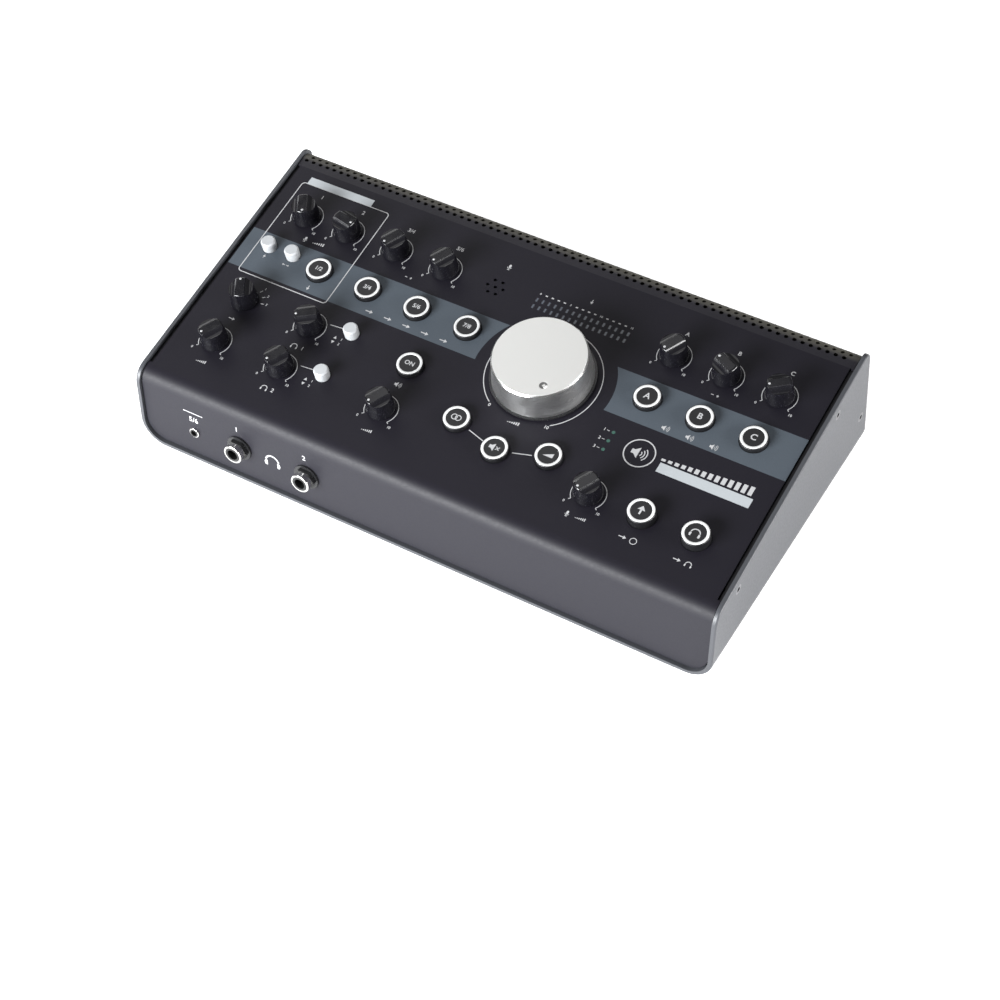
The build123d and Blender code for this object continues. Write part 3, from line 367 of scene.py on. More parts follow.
def zinc_steel():
    """Zinc sheet with its crystal spangle, near black as painted shade for the slot where the side
    brackets show.
    """
    # Painted shade: the whole finish is near black so the slot beside the panel looks dark.
    metal = Finish("zinc_steel", (0.035, 0.035, 0.038), 0.42, 1.0)
    spangle = metal.node("ShaderNodeTexVoronoi", {}, {
        "Vector": metal.place(), "Scale": 1 / (SPANGLE * MM)}, "Distance")
    metal.tint(metal.fade(spangle, 0.2, 0.8, 0.0, 0.4), (0.055, 0.055, 0.058))
    metal.set("Roughness", metal.fade(spangle, 0.1, 0.9, 0.32, 0.46))
    metal.grain(metal.noise(0.8, 2), 0.004)
    return metal


def circuit_board():
    """Green solder mask over laminate, with the copper showing through as paler tracks."""
    black, white = (0, 0, 0, 1), (1, 1, 1, 1)
    board = Finish("circuit_board", (0.012, 0.10, 0.045), 0.30, Coat_Weight=0.4, Coat_Roughness=0.15)
    tracks = board.node("ShaderNodeTexBrick", {"offset": 0.5}, {
        "Vector": board.place(), "Scale": 1 / (TRACK_PITCH * MM), "Mortar Size": 0.04,
        "Color1": black, "Color2": black, "Mortar": white}, "Color")
    board.tint(tracks, (0.03, 0.17, 0.08))
    board.grain(board.noise(0.3, 2), 0.006)
    return board


def meter_lens():
    """Smoked windows over dark elements, with a paler core, and green status lights beside them."""
    lens = Finish("meter_lens", (0.012, 0.014, 0.022), 0.18, Coat_Weight=0.6, Coat_Roughness=0.06)
    right = lens.on_face(PANEL, 0)
    column = lens.node("ShaderNodeMath", {"operation": "PINGPONG"}, {
        0: right - (METER_X - METER_PITCH), 1: METER_PITCH / 2})
    core = lens.fade(column, 0.15, 0.45, 1.0, 0.0) * (lens.on_face(PANEL, 1) > METER_LOW)
    lens.tint(core * 0.8, (0.045, 0.058, 0.085))
    lens.tint(right > STATUS_X - 3, (0.004, 0.055, 0.038))
    lens.grain(lens.noise(0.6, 2), 0.004)
    return lens


def foot_rubber():
    """Rubber with worn patches."""
    rubber = moulding("foot_rubber", (0.022, 0.022, 0.022), 0.75, 0.25, 0.03)
    rubber.tint(rubber.fade(rubber.noise(1.5, 3), 0.6, 0.8, 0.0, 0.4), (0.07, 0.07, 0.068))
    return rubber


def ribbon_plastic():
    """Grey ribbon with a groove between each pair of wires."""
    plastic = moulding("ribbon_plastic", (0.34, 0.34, 0.34), 0.45)
    wires = plastic.node("ShaderNodeTexWave", {"bands_direction": "X"}, {
        "Vector": plastic.place(), "Scale": 0.314 / (WIRE_PITCH * MM)})
    plastic.grain(wires, 0.15)
    return plastic


def ink(name, colour):
    """Screen printed ink, a little uneven."""
    printed = Finish(name, colour, 0.5)
    printed.shade(printed.fade(printed.noise(0.8, 3), 0.45, 0.8, 0.0, 0.35), 0.82)
    printed.grain(printed.noise(0.2, 2), 0.004)
    return printed


def lamp_ring():
    """Translucent white light ring, unlit but bright."""
    ring = Finish("lamp_ring", (0.56, 0.56, 0.555), 0.32, Coat_Weight=0.2)
    ring.tint(ring.fade(ring.noise(2, 2), 0.45, 0.8, 0.0, 0.4), (0.47, 0.47, 0.48))
    ring.grain(ring.noise(0.5, 2), 0.004)
    return ring


finishes = {
    "shell_paint": textured_paint("shell_paint", SHELL_COLOUR, 0.40, 0.8, 0.03),
    "panel_paint": panel_paint(),
    "vent_paint": vent_paint(),
    "turned_aluminium": turned_aluminium(),
    "knob_plastic": moulding(
        "knob_plastic", (0.0045, 0.0043, 0.0060), 0.20, 0.35, 0.002,
        Specular_IOR_Level=0.4, Coat_Weight=0.25, Coat_Roughness=0.08),
    "cap_plastic": moulding("cap_plastic", (0.006, 0.006, 0.007), 0.38, 0.4, 0.003),
    "push_plastic": moulding("push_plastic", (0.36, 0.37, 0.38), 0.34, 0.6, 0.004, Coat_Weight=0.2),
    "meter_lens": meter_lens(),
    "collar_black": moulding("collar_black", (0.012, 0.012, 0.013), 0.28, 0.5, 0.004),
    "ferrule_chrome": plated("ferrule_chrome", (0.80, 0.79, 0.76), 0.10),
    "nut_nickel": plated("nut_nickel", (0.62, 0.60, 0.56), 0.24),
    "jack_plastic": moulding("jack_plastic", (0.010, 0.010, 0.010), 0.42),
    "switch_plastic": moulding("switch_plastic", (0.015, 0.015, 0.015), 0.45),
    "rocker_plastic": moulding("rocker_plastic", (0.012, 0.012, 0.012), 0.30, 0.6, 0.004),
    "ribbon_plastic": ribbon_plastic(),
    "circuit_board": circuit_board(),
    "zinc_steel": zinc_steel(),
    "screw_steel": plated("screw_steel", (0.20, 0.20, 0.21), 0.30),
    "foot_rubber": foot_rubber(),
}
white_ink = ink("white_ink", (0.38, 0.38, 0.385))
tag_ink = ink("tag_ink", (0.34, 0.36, 0.375))
ring_light = lamp_ring()


def dress_nodes():
    """Gives every CAD node the finish of its slot."""
    for part in frame["record"]["subparts"]:
        mesh = frame["nodes"][part["node"]].data
        mesh.materials.clear()
        mesh.materials.append(finishes[part["material_slot"]].material)


# --- Making pieces ----------------------------------------------------------------------------------

def keep(name, shape, face, body, finish, smooth=False):
    """Turns a bmesh in a face's millimetres into a piece that rides on a body."""
    shape.normal_update()
    mesh = bpy.data.meshes.new(name)
    shape.to_mesh(mesh)
    shape.free()
    mesh.transform(face)
    mesh.materials.append(finish.material)
    mesh.polygons.foreach_set("use_smooth", [smooth] * len(mesh.polygons))
    piece = bpy.data.objects.new(name, mesh)
    bpy.context.scene.collection.objects.link(piece)
    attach(piece, body)
    return piece


def lathe(shape, profile, centre, steps):
    """Turns (radius, height) points about an axis square to the face."""
    angles = [2 * math.pi * step / steps for step in range(steps)]
    rings = []
    for radius, height in profile:
        rings.append([
            shape.verts.new((
                centre[0] + radius * math.cos(angle), centre[1] + radius * math.sin(angle), height))
            for angle in angles])
    for inner, outer in zip(rings, rings[1:]):
        for step in range(steps):
            after = (step + 1) % steps
            shape.faces.new((inner[step], inner[after], outer[after], outer[step]))


def heading(degrees):
    """Unit step in a direction, in degrees from +X."""
    angle = math.radians(degrees)
    return Vector((math.cos(angle), math.sin(angle)))


def arc(centre, radius, start, end, steps=40):
    """Points along an arc, with its angles in degrees from +X."""
    angles = [math.radians(start + (end - start) * step / steps) for step in range(steps + 1)]
    return [Vector((centre[0] + radius * math.cos(a), centre[1] + radius * math.sin(a))) for a in angles]


def ends_missing(points, number, closed):
    """The points before and after one of a line, None where the line ends."""
    before = points[number - 1] if number or closed else None
    after = points[(number + 1) % len(points)] if number + 1 < len(points) or closed else None
    return before, after


CAPITAL_SHARE = 0.70            # height of a capital in a unit of type
TYPE_WEIGHT = 0.02              # thickening of the strokes, in units of type
SHORTEST_MITRE = 0.35


class Print:
    """Flat printing on a face, gathered into one piece."""

    def __init__(self, height=0.04):
        self.shape = bmesh.new()
        self.height = height

    def patch(self, outline):
        self.shape.faces.new([self.shape.verts.new((x, y, self.height)) for x, y in outline])

    def bar(self, left, right, low, high):
        self.patch([(left, low), (right, low), (right, high), (left, high)])

    def line(self, points, width, closed=False):
        """Line of even width with mitred corners."""
        points = [Vector(point[:2]) for point in points]
        edges = []
        for number, point in enumerate(points):
            before, after = ends_missing(points, number, closed)
            ways = [(b - a).normalized() for a, b in ((before, point), (point, after)) if a and b]
            way = sum(ways, Vector((0, 0))).normalized()
            side = Vector((-way.y, way.x))
            stretch = 1 / max(SHORTEST_MITRE, side.dot(Vector((-ways[0].y, ways[0].x))))
            edges.append([self.shape.verts.new((*(point + side * stretch * width * half), self.height))
                          for half in (-0.5, 0.5)])
        pairs = list(zip(edges, edges[1:])) + ([(edges[-1], edges[0])] if closed else [])
        for (low, high), (next_low, next_high) in pairs:
            self.shape.faces.new((low, next_low, next_high, high))

    def ring(self, centre, radius, width, steps=64):
        self.line(arc(centre, radius, 0, 360 - 360 / steps, steps - 1), width, closed=True)

    def words(self, text, centre, height):
        """Plain upright characters with the given capital height."""
        curve = bpy.data.curves.new("characters", "FONT")
        curve.body = text
        curve.align_x = "CENTER"
        curve.align_y = "CENTER"
        curve.offset = TYPE_WEIGHT
        curve.resolution_u = 4
        holder = bpy.data.objects.new("characters", curve)
        bpy.context.scene.collection.objects.link(holder)
        bpy.context.view_layer.update()
        flat = bpy.data.meshes.new_from_object(
            holder.evaluated_get(bpy.context.evaluated_depsgraph_get()))
        place = Matrix.Translation((*centre[:2], self.height))
        flat.transform(place @ Matrix.Scale(height / CAPITAL_SHARE, 4))
        self.shape.from_mesh(flat)
        bpy.data.objects.remove(holder)
        bpy.data.curves.remove(curve)
        bpy.data.meshes.remove(flat)

    def mark(self, name, centre, size):
        """One of the signs below, in a square of the given size, or words with that capital height."""
        if name in SIGNS:
            SIGNS[name](self, Vector(centre[:2]), size)
        else:
            self.words(name, centre, size)

    def marks(self, table):
        for name, centre, size in table:
            self.mark(name, centre, size)


# --- Signs, each drawn in a square of size 1 about its centre -----------------------------------------

def shifted(points, centre, size):
    return [centre + size * Vector(point) for point in points]


def headphones(art, centre, size):
    art.line(arc(centre - Vector((0, 0.1 * size)), 0.40 * size, 10, 170, 24), 0.10 * size)
    for side in (-1, 1):
        cup = [(side * 0.30, -0.08), (side * 0.44, -0.08), (side * 0.50, -0.24),
               (side * 0.44, -0.42), (side * 0.30, -0.42)]
        art.patch(shifted(cup, centre, size))


def microphone(art, centre, size):
    capsule = arc((0, 0.22), 0.15, 0, 180, 12) + arc((0, -0.02), 0.15, 180, 360, 12)
    art.patch(shifted(capsule, centre, size))
    art.line(arc(centre - Vector((0, 0.02 * size)), 0.27 * size, 190, 350, 16), 0.07 * size)
    art.line(shifted([(0, -0.29), (0, -0.44)], centre, size), 0.07 * size)
    art.line(shifted([(-0.16, -0.46), (0.16, -0.46)], centre, size), 0.07 * size)


def speaker(art, centre, size):
    body = [(-0.45, -0.14), (-0.27, -0.14), (-0.02, -0.36), (-0.02, 0.36), (-0.27, 0.14), (-0.45, 0.14)]
    art.patch(shifted(body, centre, size))
    for radius in (0.18, 0.34, 0.50):
        art.line(arc(centre - Vector((0.02 * size, 0)), radius * size, -48, 48, 14), 0.06 * size)


def crossed_speaker(art, centre, size):
    body = [(-0.48, -0.15), (-0.28, -0.15), (0.0, -0.38), (0.0, 0.38), (-0.28, 0.15), (-0.48, 0.15)]
    art.patch(shifted(body, centre, size))
    for way in (-1, 1):
        art.line(shifted([(0.14, -0.16 * way), (0.46, 0.16 * way)], centre, size), 0.08 * size)


def circle(art, centre, size):
    art.ring(centre, 0.45 * size, 0.10 * size, 32)


def joined_circles(art, centre, size):
    for side in (-1, 1):
        art.ring(centre + Vector((side * 0.18 * size, 0)), 0.25 * size, 0.08 * size, 32)


def short_wedge(art, centre, size):
    art.patch(shifted([(-0.45, -0.2), (0.45, -0.2), (0.45, 0.24)], centre, size))


def wedge(art, centre, size):
    """Level wedge of bars, low on the left and high on the right."""
    steps = 6
    for step in range(steps):
        x = -0.8 + 1.6 * step / (steps - 1)
        top = -0.22 + 0.52 * (step + 1) / steps
        bar = [(x - 0.09, -0.24), (x + 0.09, -0.24), (x + 0.09, top), (x - 0.09, top)]
        art.patch(shifted(bar, centre, size))


def up_arrow(art, centre, size):
    art.patch(shifted([(-0.34, 0.02), (0.34, 0.02), (0, 0.44)], centre, size))
    art.line(shifted([(0, 0.04), (0, -0.40)], centre, size), 0.16 * size)


def right_arrow(art, centre, size):
    art.line(shifted([(-0.5, 0), (0.15, 0)], centre, size), 0.13 * size)
    art.patch(shifted([(0.12, -0.26), (0.52, 0), (0.12, 0.26)], centre, size))


def down_arrow(art, centre, size):
    art.line(shifted([(0, 0.45), (0, -0.05)], centre, size), 0.13 * size)
    art.patch(shifted([(-0.28, -0.02), (0, -0.45), (0.28, -0.02)], centre, size))


def plus_minus(art, centre, size):
    for stroke in ([(-0.62, 0), (-0.22, 0)], [(0.22, 0), (0.62, 0)], [(0.42, -0.2), (0.42, 0.2)]):
        art.line(shifted(stroke, centre, size), 0.11 * size)


def bolt(art, centre, size):
    outline = [(0.10, 0.48), (-0.26, -0.06), (-0.02, -0.06), (-0.12, -0.48), (0.28, 0.12), (0.04, 0.12)]
    art.patch(shifted(outline, centre, size))


def crossed_ways(art, centre, size):
    """Two arrows that part: left and right of a stereo pair."""
    for side in (-1, 1):
        art.line(shifted([(side * 0.1, 0), (side * 0.36, 0)], centre, size), 0.10 * size)
        head = [(side * 0.34, -0.18), (side * 0.34, 0.18), (side * 0.58, 0)]
        art.patch(shifted(head, centre, size))


SIGNS = {sign.__name__: sign for sign in (
    headphones, microphone, speaker, crossed_speaker, circle, joined_circles, short_wedge, wedge,
    up_arrow, right_arrow, down_arrow, plus_minus, bolt, crossed_ways)}

# --- Printing on the panel --------------------------------------------------------------------------

TOP = 90                                    # straight up, in degrees from +X
SMALL_TYPE, LABEL_TYPE = 1.5, 2.5
FINE_LINE, LINE, BOLD_LINE = 0.42, 0.45, 0.55
SCALE_RADIUS, SCALE_HALF, END_MARK = 9.5, 130.0, 1.3
END_NUMBER_OUT, END_NUMBER_DOWN = 9.9, 8.8
STEP_ANGLES, STEP_MARK, STEP_NUMBER_OUT = (60, 35, 10), 1.95, 3.6
VOLUME_SCALE_RADIUS, VOLUME_SCALE_HALF, VOLUME_SCALE_LINE = 32.3, 145, 0.5
VOLUME_NUMBER_OUT, VOLUME_NUMBER_DOWN, VOLUME_TYPE = 17.4, 28.2, 1.9
LABEL_RISE, LABEL_SHIFT = 15.8, 0.6
UNDER_TOP, UNDER_UPPER, UNDER_LOWER = ROW_TOP - 13.9, ROW_UPPER - 13.9, ROW_LOWER - 15.1
UNDER_TALK = UNDER_LOWER - 0.2
UNDER_PUSHES = -4.0
BAND_SIGNS = -12.3
METER_MIDDLE, METER_TOP = 29.0, 44.4
METER_MARKS, METER_MARK_HALF, METER_TYPE = 37.6, (0.7, 0.4), 1.3
STATUS_NUMBER, STATUS_DASH, STATUS_TYPE, STATUS_LINE = 5.2, (3.8, 2.2), 1.8, 0.3
FUNCTION_CLEAR = 9.2                        # from a function button's centre to the line beside it
INPUT_BOX, INPUT_BOX_CORNER = (-165.6, -106.5, -18.0, 52.0), 2.0
TAG = (-162.9, -119.4, 52.0, 57.0)
PLAIN_BAR = (111.0, 164.0, -38.4, -32.4)
BADGE, BADGE_RADIUS, BADGE_LINE = (98.4, -32.0), 8.4, 0.7
LEVEL_BARS, LEVEL_STEPS, LEVEL_FILL, LEVEL_START = (110.5, 163.5, -31.2, -25.6), 14, 0.62, 0.25
# Signs and words by the controls, with their places and sizes.
PANEL_MARKS = [
    ("microphone", (FAR_LEFT + 7.9, UNDER_TOP), 4.2),
    ("wedge", (FAR_LEFT + 16.6, UNDER_TOP), 4.0),
    ("plus_minus", ((SOURCES[1] + SOURCES[2]) / 2, UNDER_TOP + 0.5), 3.6),
    ("plus_minus", (MONITORS[1], UNDER_TOP + 0.3), 3.6),
    ("bolt", (FAR_LEFT - 7.4, UNDER_PUSHES + 0.4), 3.2),
    ("crossed_ways", (FAR_LEFT + 7.4, UNDER_PUSHES), 4.0),
    ("down_arrow", (SOURCES[0], BAND_SIGNS - 0.1), 3.6),
    ("right_arrow", (FAR_LEFT, UNDER_UPPER), 4.0),
    ("wedge", (FAR_LEFT + 0.5, UNDER_LOWER), 3.4),
    ("headphones", (PHONES_X - 0.8, UNDER_UPPER - 1.0), 4.4),
    ("1", (PHONES_X + 4.4, UNDER_UPPER - 1.0), 2.4),
    ("headphones", (PHONES_X - 0.8, UNDER_LOWER), 4.4),
    ("2", (PHONES_X + 4.4, UNDER_LOWER), 2.4),
    ("speaker", (STUDIO_X, UNDER_UPPER + 0.6), 4.6),
    ("wedge", (STUDIO_X, UNDER_LOWER), 3.4),
    ("microphone", (SOURCES[3], METER_TOP + 2.6), 4.4),
    ("down_arrow", (METER_MIDDLE, METER_TOP), 3.4),
    ("wedge", (VOLUME.x, VOLUME.y - 32.8), 3.8),
    ("microphone", (MONITORS[0] - 4.4, UNDER_LOWER + 0.2), 4.0),
    ("wedge", (MONITORS[0] + 3.2, UNDER_LOWER + 0.2), 3.2),
    ("right_arrow", (MONITORS[1] - 3.2, UNDER_TALK), 4.2),
    ("circle", (MONITORS[1] + 3.0, UNDER_TALK), 4.0),
    ("right_arrow", (MONITORS[2] - 3.2, UNDER_TALK), 4.2),
    ("headphones", (MONITORS[2] + 3.4, UNDER_TALK), 4.2),
]


def box_outline(left, right, low, high, corner):
    """Rounded rectangle as points."""
    points = []
    for side, end, start in ((1, 1, 0), (-1, 1, 90), (-1, -1, 180), (1, -1, 270)):
        x = (right if side > 0 else left) - side * corner
        y = (high if end > 0 else low) - end * corner
        points += arc((x, y), corner, start, start + 90, 8)
    return points


def knob_scale(art, x, y):
    """Arc around a small knob with its end marks and the numbers 0 and 10."""
    art.line(arc((x, y), SCALE_RADIUS, TOP + SCALE_HALF, TOP - SCALE_HALF), FINE_LINE)
    for side, number in ((-1, "0"), (1, "10")):
        way = heading(TOP - side * SCALE_HALF)
        start = Vector((x, y)) + way * SCALE_RADIUS
        art.line([start, start + way * END_MARK], FINE_LINE)
        art.words(number, (x + side * END_NUMBER_OUT, y - END_NUMBER_DOWN), SMALL_TYPE)


def stepped_scale(art, x, y):
    """The cue selector has three marked places on the right."""
    for step, angle in enumerate(STEP_ANGLES):
        way = heading(angle)
        start = Vector((x, y)) + way * SCALE_RADIUS
        art.line([start, start + way * STEP_MARK], FINE_LINE)
        art.words(str(step + 1), start + way * STEP_NUMBER_OUT, SMALL_TYPE)


def volume_scale(art):
    sweep = arc(VOLUME, VOLUME_SCALE_RADIUS, TOP + VOLUME_SCALE_HALF, TOP - VOLUME_SCALE_HALF, 96)
    art.line(sweep, VOLUME_SCALE_LINE)
    for side, number in ((-1, "0"), (1, "10")):
        place = VOLUME + Vector((side * VOLUME_NUMBER_OUT, -VOLUME_NUMBER_DOWN))
        art.words(number, place, VOLUME_TYPE)


def knob_labels(art):
    """Numbers over the input knobs, and letters over the monitor trims."""
    for column, label in zip((FAR_LEFT, *SOURCES), ("1", "2", "3/4", "5/6")):
        art.words(label, (column + LABEL_SHIFT, ROW_TOP + LABEL_RISE), LABEL_TYPE)
    for column, label in zip(MONITORS, "ABC"):
        art.words(label, (column, ROW_TOP + LABEL_RISE), LABEL_TYPE)


def band_signs(art):
    """Rows of arrows and loudspeakers under the two groups of selectors."""
    middle = (SOURCES[1] + SOURCES[3]) / 2
    art.marks([("right_arrow", (middle + 12.0 * step, BAND_SIGNS), 4.6) for step in range(-2, 3)])
    art.marks([("speaker", (MONITORS[1] + 14.0 * step, BAND_SIGNS - 0.2), 4.8) for step in (-1, 0, 1)])


def phones_switch_marks(art):
    """Line from each headphone knob to its switch, and the two places of the switch."""
    x = PHONES_PUSH_X - 7.3
    for row in (ROW_UPPER, ROW_LOWER):
        art.line([(PHONES_X + 9.9, row + 5.6), (PHONES_PUSH_X - 5.6, row + 6.4)], LINE)
        art.patch([(x - 1, row - 1.4), (x + 1, row - 1.4), (x, row + 0.4)])
        art.patch([(x - 1, row - 3.0), (x, row - 4.8), (x + 1, row - 3.0)])
        art.words("1", (x + 4, row - 0.6), SMALL_TYPE)
        art.words("2", (x + 4, row - 3.9), SMALL_TYPE)


def function_lines(art):
    """Lines that join the three function buttons."""
    for first, second in ((MONO_PLACE, MUTE_PLACE), (MUTE_PLACE, DIM_PLACE)):
        way = (second - first).normalized()
        art.line([first + way * FUNCTION_CLEAR, second - way * FUNCTION_CLEAR], BOLD_LINE)


def meter_marks(art):
    """A number over every fifth column of the meter, and a dash over the others."""
    across, up = METER_MARK_HALF
    for column in range(METER_COLUMNS):
        x = METER_X + METER_PITCH * column
        if column % 5 == 0:
            art.words(str(column), (x, METER_MARKS), METER_TYPE)
        else:
            art.bar(x - across, x + across, METER_MARKS - up, METER_MARKS + up)


def status_marks(art):
    for step, label in enumerate("123"):
        y = STATUS_TOP - step * STATUS_PITCH
        art.words(label, (STATUS_X - STATUS_NUMBER, y), STATUS_TYPE)
        art.line([(STATUS_X - reach, y) for reach in STATUS_DASH], STATUS_LINE)


def badge(art):
    """Plain loudspeaker in a ring, and a rising row of bars beside it."""
    art.ring(BADGE, BADGE_RADIUS, BADGE_LINE)
    art.mark("speaker", (BADGE[0] - 0.3, BADGE[1]), 9.6)
    left, right, low, high = LEVEL_BARS
    pitch = (right - left) / LEVEL_STEPS
    for step in range(LEVEL_STEPS):
        x = left + pitch * step
        share = LEVEL_START + (1 - LEVEL_START) * step / (LEVEL_STEPS - 1)
        art.bar(x, x + LEVEL_FILL * pitch, low, low + (high - low) * share)


def print_panel():
    art = Print()
    for name, (x, y, _) in KNOBS.items():
        if name == "cue_knob":
            stepped_scale(art, x, y)
        else:
            knob_scale(art, x, y)
    volume_scale(art)
    knob_labels(art)
    art.marks(PANEL_MARKS)
    band_signs(art)
    phones_switch_marks(art)
    function_lines(art)
    meter_marks(art)
    status_marks(art)
    badge(art)
    art.line(box_outline(*INPUT_BOX, INPUT_BOX_CORNER), BOLD_LINE, closed=True)
    keep("panel_printing", art.shape, PANEL, "root", white_ink)
    pale = Print(0.06)
    pale.bar(*TAG)
    pale.bar(*PLAIN_BAR)
    keep("panel_blank_bars", pale.shape, PANEL, "root", tag_ink)


# --- Printing on the front and the rear --------------------------------------------------------------

REAR_TYPE, COMBO_TYPE = 2.6, 3.0
ABOVE_UPPER, BELOW_LOWER = REAR_UPPER + 10.2, REAR_LOWER - 10.6
OUTPUT_SIGNS = REAR_LOWER - 11.6
GROUP_LINE_DROP, GROUP_LINE_REACH, GROUP_LINE = 10.0, 6.0, 0.4
SWITCH_MARK_REACH, SWITCH_TYPE = 14.5, 2.4


def print_front():
    """Numbers over the headphone jacks, the sign between them and a mark over the small jack."""
    art = Print()
    art.mark("headphones", (sum(PHONES_JACKS) / 2 - 0.6, PHONES_JACK_HEIGHT + 0.4), 10.5)
    for x, number in zip(PHONES_JACKS, "12"):
        art.words(number, (x - 1.2, PHONES_JACK_HEIGHT + 12.6), 3.2)
    x, height = MINI_JACK
    art.words("5/6", (x, height + 9.0), 3.4)
    art.line([(x - 6.5, height + 14.0), (x + 6.5, height + 14.0)], 0.6)
    keep("front_printing", art.shape, FRONT, "root", white_ink)


def rear_labels(art):
    """Number or letter of every socket."""
    for number, x in zip("12", COMBOS):
        art.words(number, (x, COMBO_HEIGHT + 19.5), COMBO_TYPE)
        art.mark("microphone", (x, COMBO_HEIGHT - 20.5), 5.0)
    for label, x in STEREO_INPUTS.items():
        art.words(label, (x, ABOVE_UPPER), REAR_TYPE)
        art.words(str(int(label) + 1), (x, BELOW_LOWER), REAR_TYPE)
    for label, x in OUTPUTS.items():
        art.words(label, (x, ABOVE_UPPER), REAR_TYPE)


def group_lines(art):
    """Line over each group of jack columns: monitors, studio outputs and stereo inputs."""
    height = REAR_UPPER - GROUP_LINE_DROP
    for table, left, right in ((OUTPUTS, "C", "A"), (OUTPUTS, "2", "1"), (STEREO_INPUTS, "5", "3")):
        ends = (table[right] + GROUP_LINE_REACH, table[left] - GROUP_LINE_REACH)
        art.line([(x, height) for x in ends], GROUP_LINE)


def print_rear():
    """Plain numbers, letters and signs beside the rear sockets."""
    art = Print()
    rear_labels(art)
    art.mark("speaker", (OUTPUTS["B"], OUTPUT_SIGNS), 5.0)
    art.mark("right_arrow", ((OUTPUTS["1"] + OUTPUTS["2"]) / 2, OUTPUT_SIGNS), 4.6)
    art.mark("microphone", (FOOTSWITCH_X, REAR_LOWER + 11.5), 4.6)
    group_lines(art)
    x, height = POWER_SWITCH
    art.words("1", (x, height + SWITCH_MARK_REACH), SWITCH_TYPE)
    art.words("0", (x, height - SWITCH_MARK_REACH), SWITCH_TYPE)
    keep("rear_printing", art.shape, REAR, "root", white_ink)


# --- Light rings, captions and pointer dots ------------------------------------------------------------

RING_RADIUS = 6.45
# Distance out from the ring's middle, and height above the cap.
RING_CROWN = [
    (-0.75, -0.2), (-0.73, 0.06), (-0.59, 0.13), (0, 0.17), (0.59, 0.13), (0.73, 0.06), (0.75, -0.2)]
SIGN_ON_CAP, LETTER_ON_CAP, WORD_ON_CAP = 6.4, 3.6, 2.6
DOT_PLACE, DOT_RADIUS = 5.2, 0.68
# Share of the dot's radius, and height above the knob.
DOT_DOME = [(1, -0.15), (1, 0.02), (0.8, 0.09), (0.45, 0.12), (0.05 / DOT_RADIUS, 0.13)]


def caption_size(caption):
    if caption in SIGNS:
        return SIGN_ON_CAP
    return LETTER_ON_CAP if len(caption) == 1 else WORD_ON_CAP


def button_trim():
    """Light ring and caption on every round button."""
    for name, (x, y, cap, caption) in BUTTONS.items():
        shape = bmesh.new()
        profile = [(RING_RADIUS + out, cap + height) for out, height in RING_CROWN]
        lathe(shape, profile, (x, y), 72)
        keep(name.replace("button", "light_ring"), shape, PANEL, name, ring_light, True)
        art = Print(cap + 0.05)
        art.mark(caption, (x, y), caption_size(caption))
        keep(name.replace("button", "caption"), art.shape, PANEL, name, white_ink)


def pointer_dots():
    """Domed dot of white paint at the end of each small knob's grip bar."""
    for name, (x, y, turn) in KNOBS.items():
        centre = Vector((x, y)) + DOT_PLACE * heading(TOP + turn)
        shape = bmesh.new()
        profile = [(share * DOT_RADIUS, KNOB_HEIGHT + height) for share, height in DOT_DOME]
        lathe(shape, profile, centre, 20)
        keep(name.replace("knob", "pointer_dot"), shape, PANEL, name, white_ink, True)


# --- Inside the sockets ----------------------------------------------------------------------------------

LEAF_WIDTH, LEAF_THICK = 1.6, 0.25
# Depth in the jack, and distance in from its wall, along a contact leaf.
LEAF_PATH = [(-17.0, 0.05), (-12.0, 0.25), (-8.5, 0.9), (-7.0, 0.6), (-6.0, 0.1)]
FRONT_LEAF_TURNS, REAR_LEAF_TURN = (0.5, 2.6), 1.2          # in radians
TAB_RADIUS, TAB_RISE, TAB_TOP, TAB_FOOT = 2.6, 9.6, 2.9, 1.9
COMBO_SCREWS = ((-9.8, 12.2), (9.8, -12.2))
SCREW_HEAD = [(0.05, 2.3), (0.6, 2.3), (0.7, 2.75), (1.5, 2.6), (1.9, 2.0), (1.9, 1.95)]
TONGUE_SIZE, TONGUE_DEPTH = (5.6, 7.6, 3.0), 5.2
CONTACT_SIZE, CONTACT_X, CONTACT_Z = (1.0, 6.2, 0.25), 1.25, 1.55


def leaf_spring(shape, centre, turn):
    """Curved contact leaf along the wall of a jack, with its bent tip."""
    way = Vector((math.cos(turn), math.sin(turn)))
    side = Vector((-way.y, way.x))
    rows = []
    for depth, inset in LEAF_PATH:
        out = JACK_BORE_RADIUS - inset
        rows.append([shape.verts.new((*(Vector(centre) + way * reach + side * half), depth))
                     for reach in (out, out - LEAF_THICK) for half in (-LEAF_WIDTH / 2, LEAF_WIDTH / 2)])
    for a, b in zip(rows, rows[1:]):
        for one, two in ((0, 1), (1, 3), (3, 2), (2, 0)):
            shape.faces.new((a[one], a[two], b[two], b[one]))
    for end in (rows[0], rows[-1]):
        shape.faces.new((end[0], end[1], end[3], end[2]))


def jack_contacts():
    """Contact leaves that show in the mouths of the 6.35 mm jacks."""
    nickel = finishes["nut_nickel"]
    shape = bmesh.new()
    for x in PHONES_JACKS:
        for turn in FRONT_LEAF_TURNS:
            leaf_spring(shape, (x, PHONES_JACK_HEIGHT), turn)
    keep("front_jack_contacts", shape, FRONT, "root", nickel)
    shape = bmesh.new()
    columns = [*STEREO_INPUTS.values(), *OUTPUTS.values()]
    places = [(x, height) for x in columns for height in (REAR_UPPER, REAR_LOWER)]
    for place in places + [(FOOTSWITCH_X, REAR_LOWER)]:
        leaf_spring(shape, place, REAR_LEAF_TURN)
    keep("rear_jack_contacts", shape, REAR, "root", nickel)


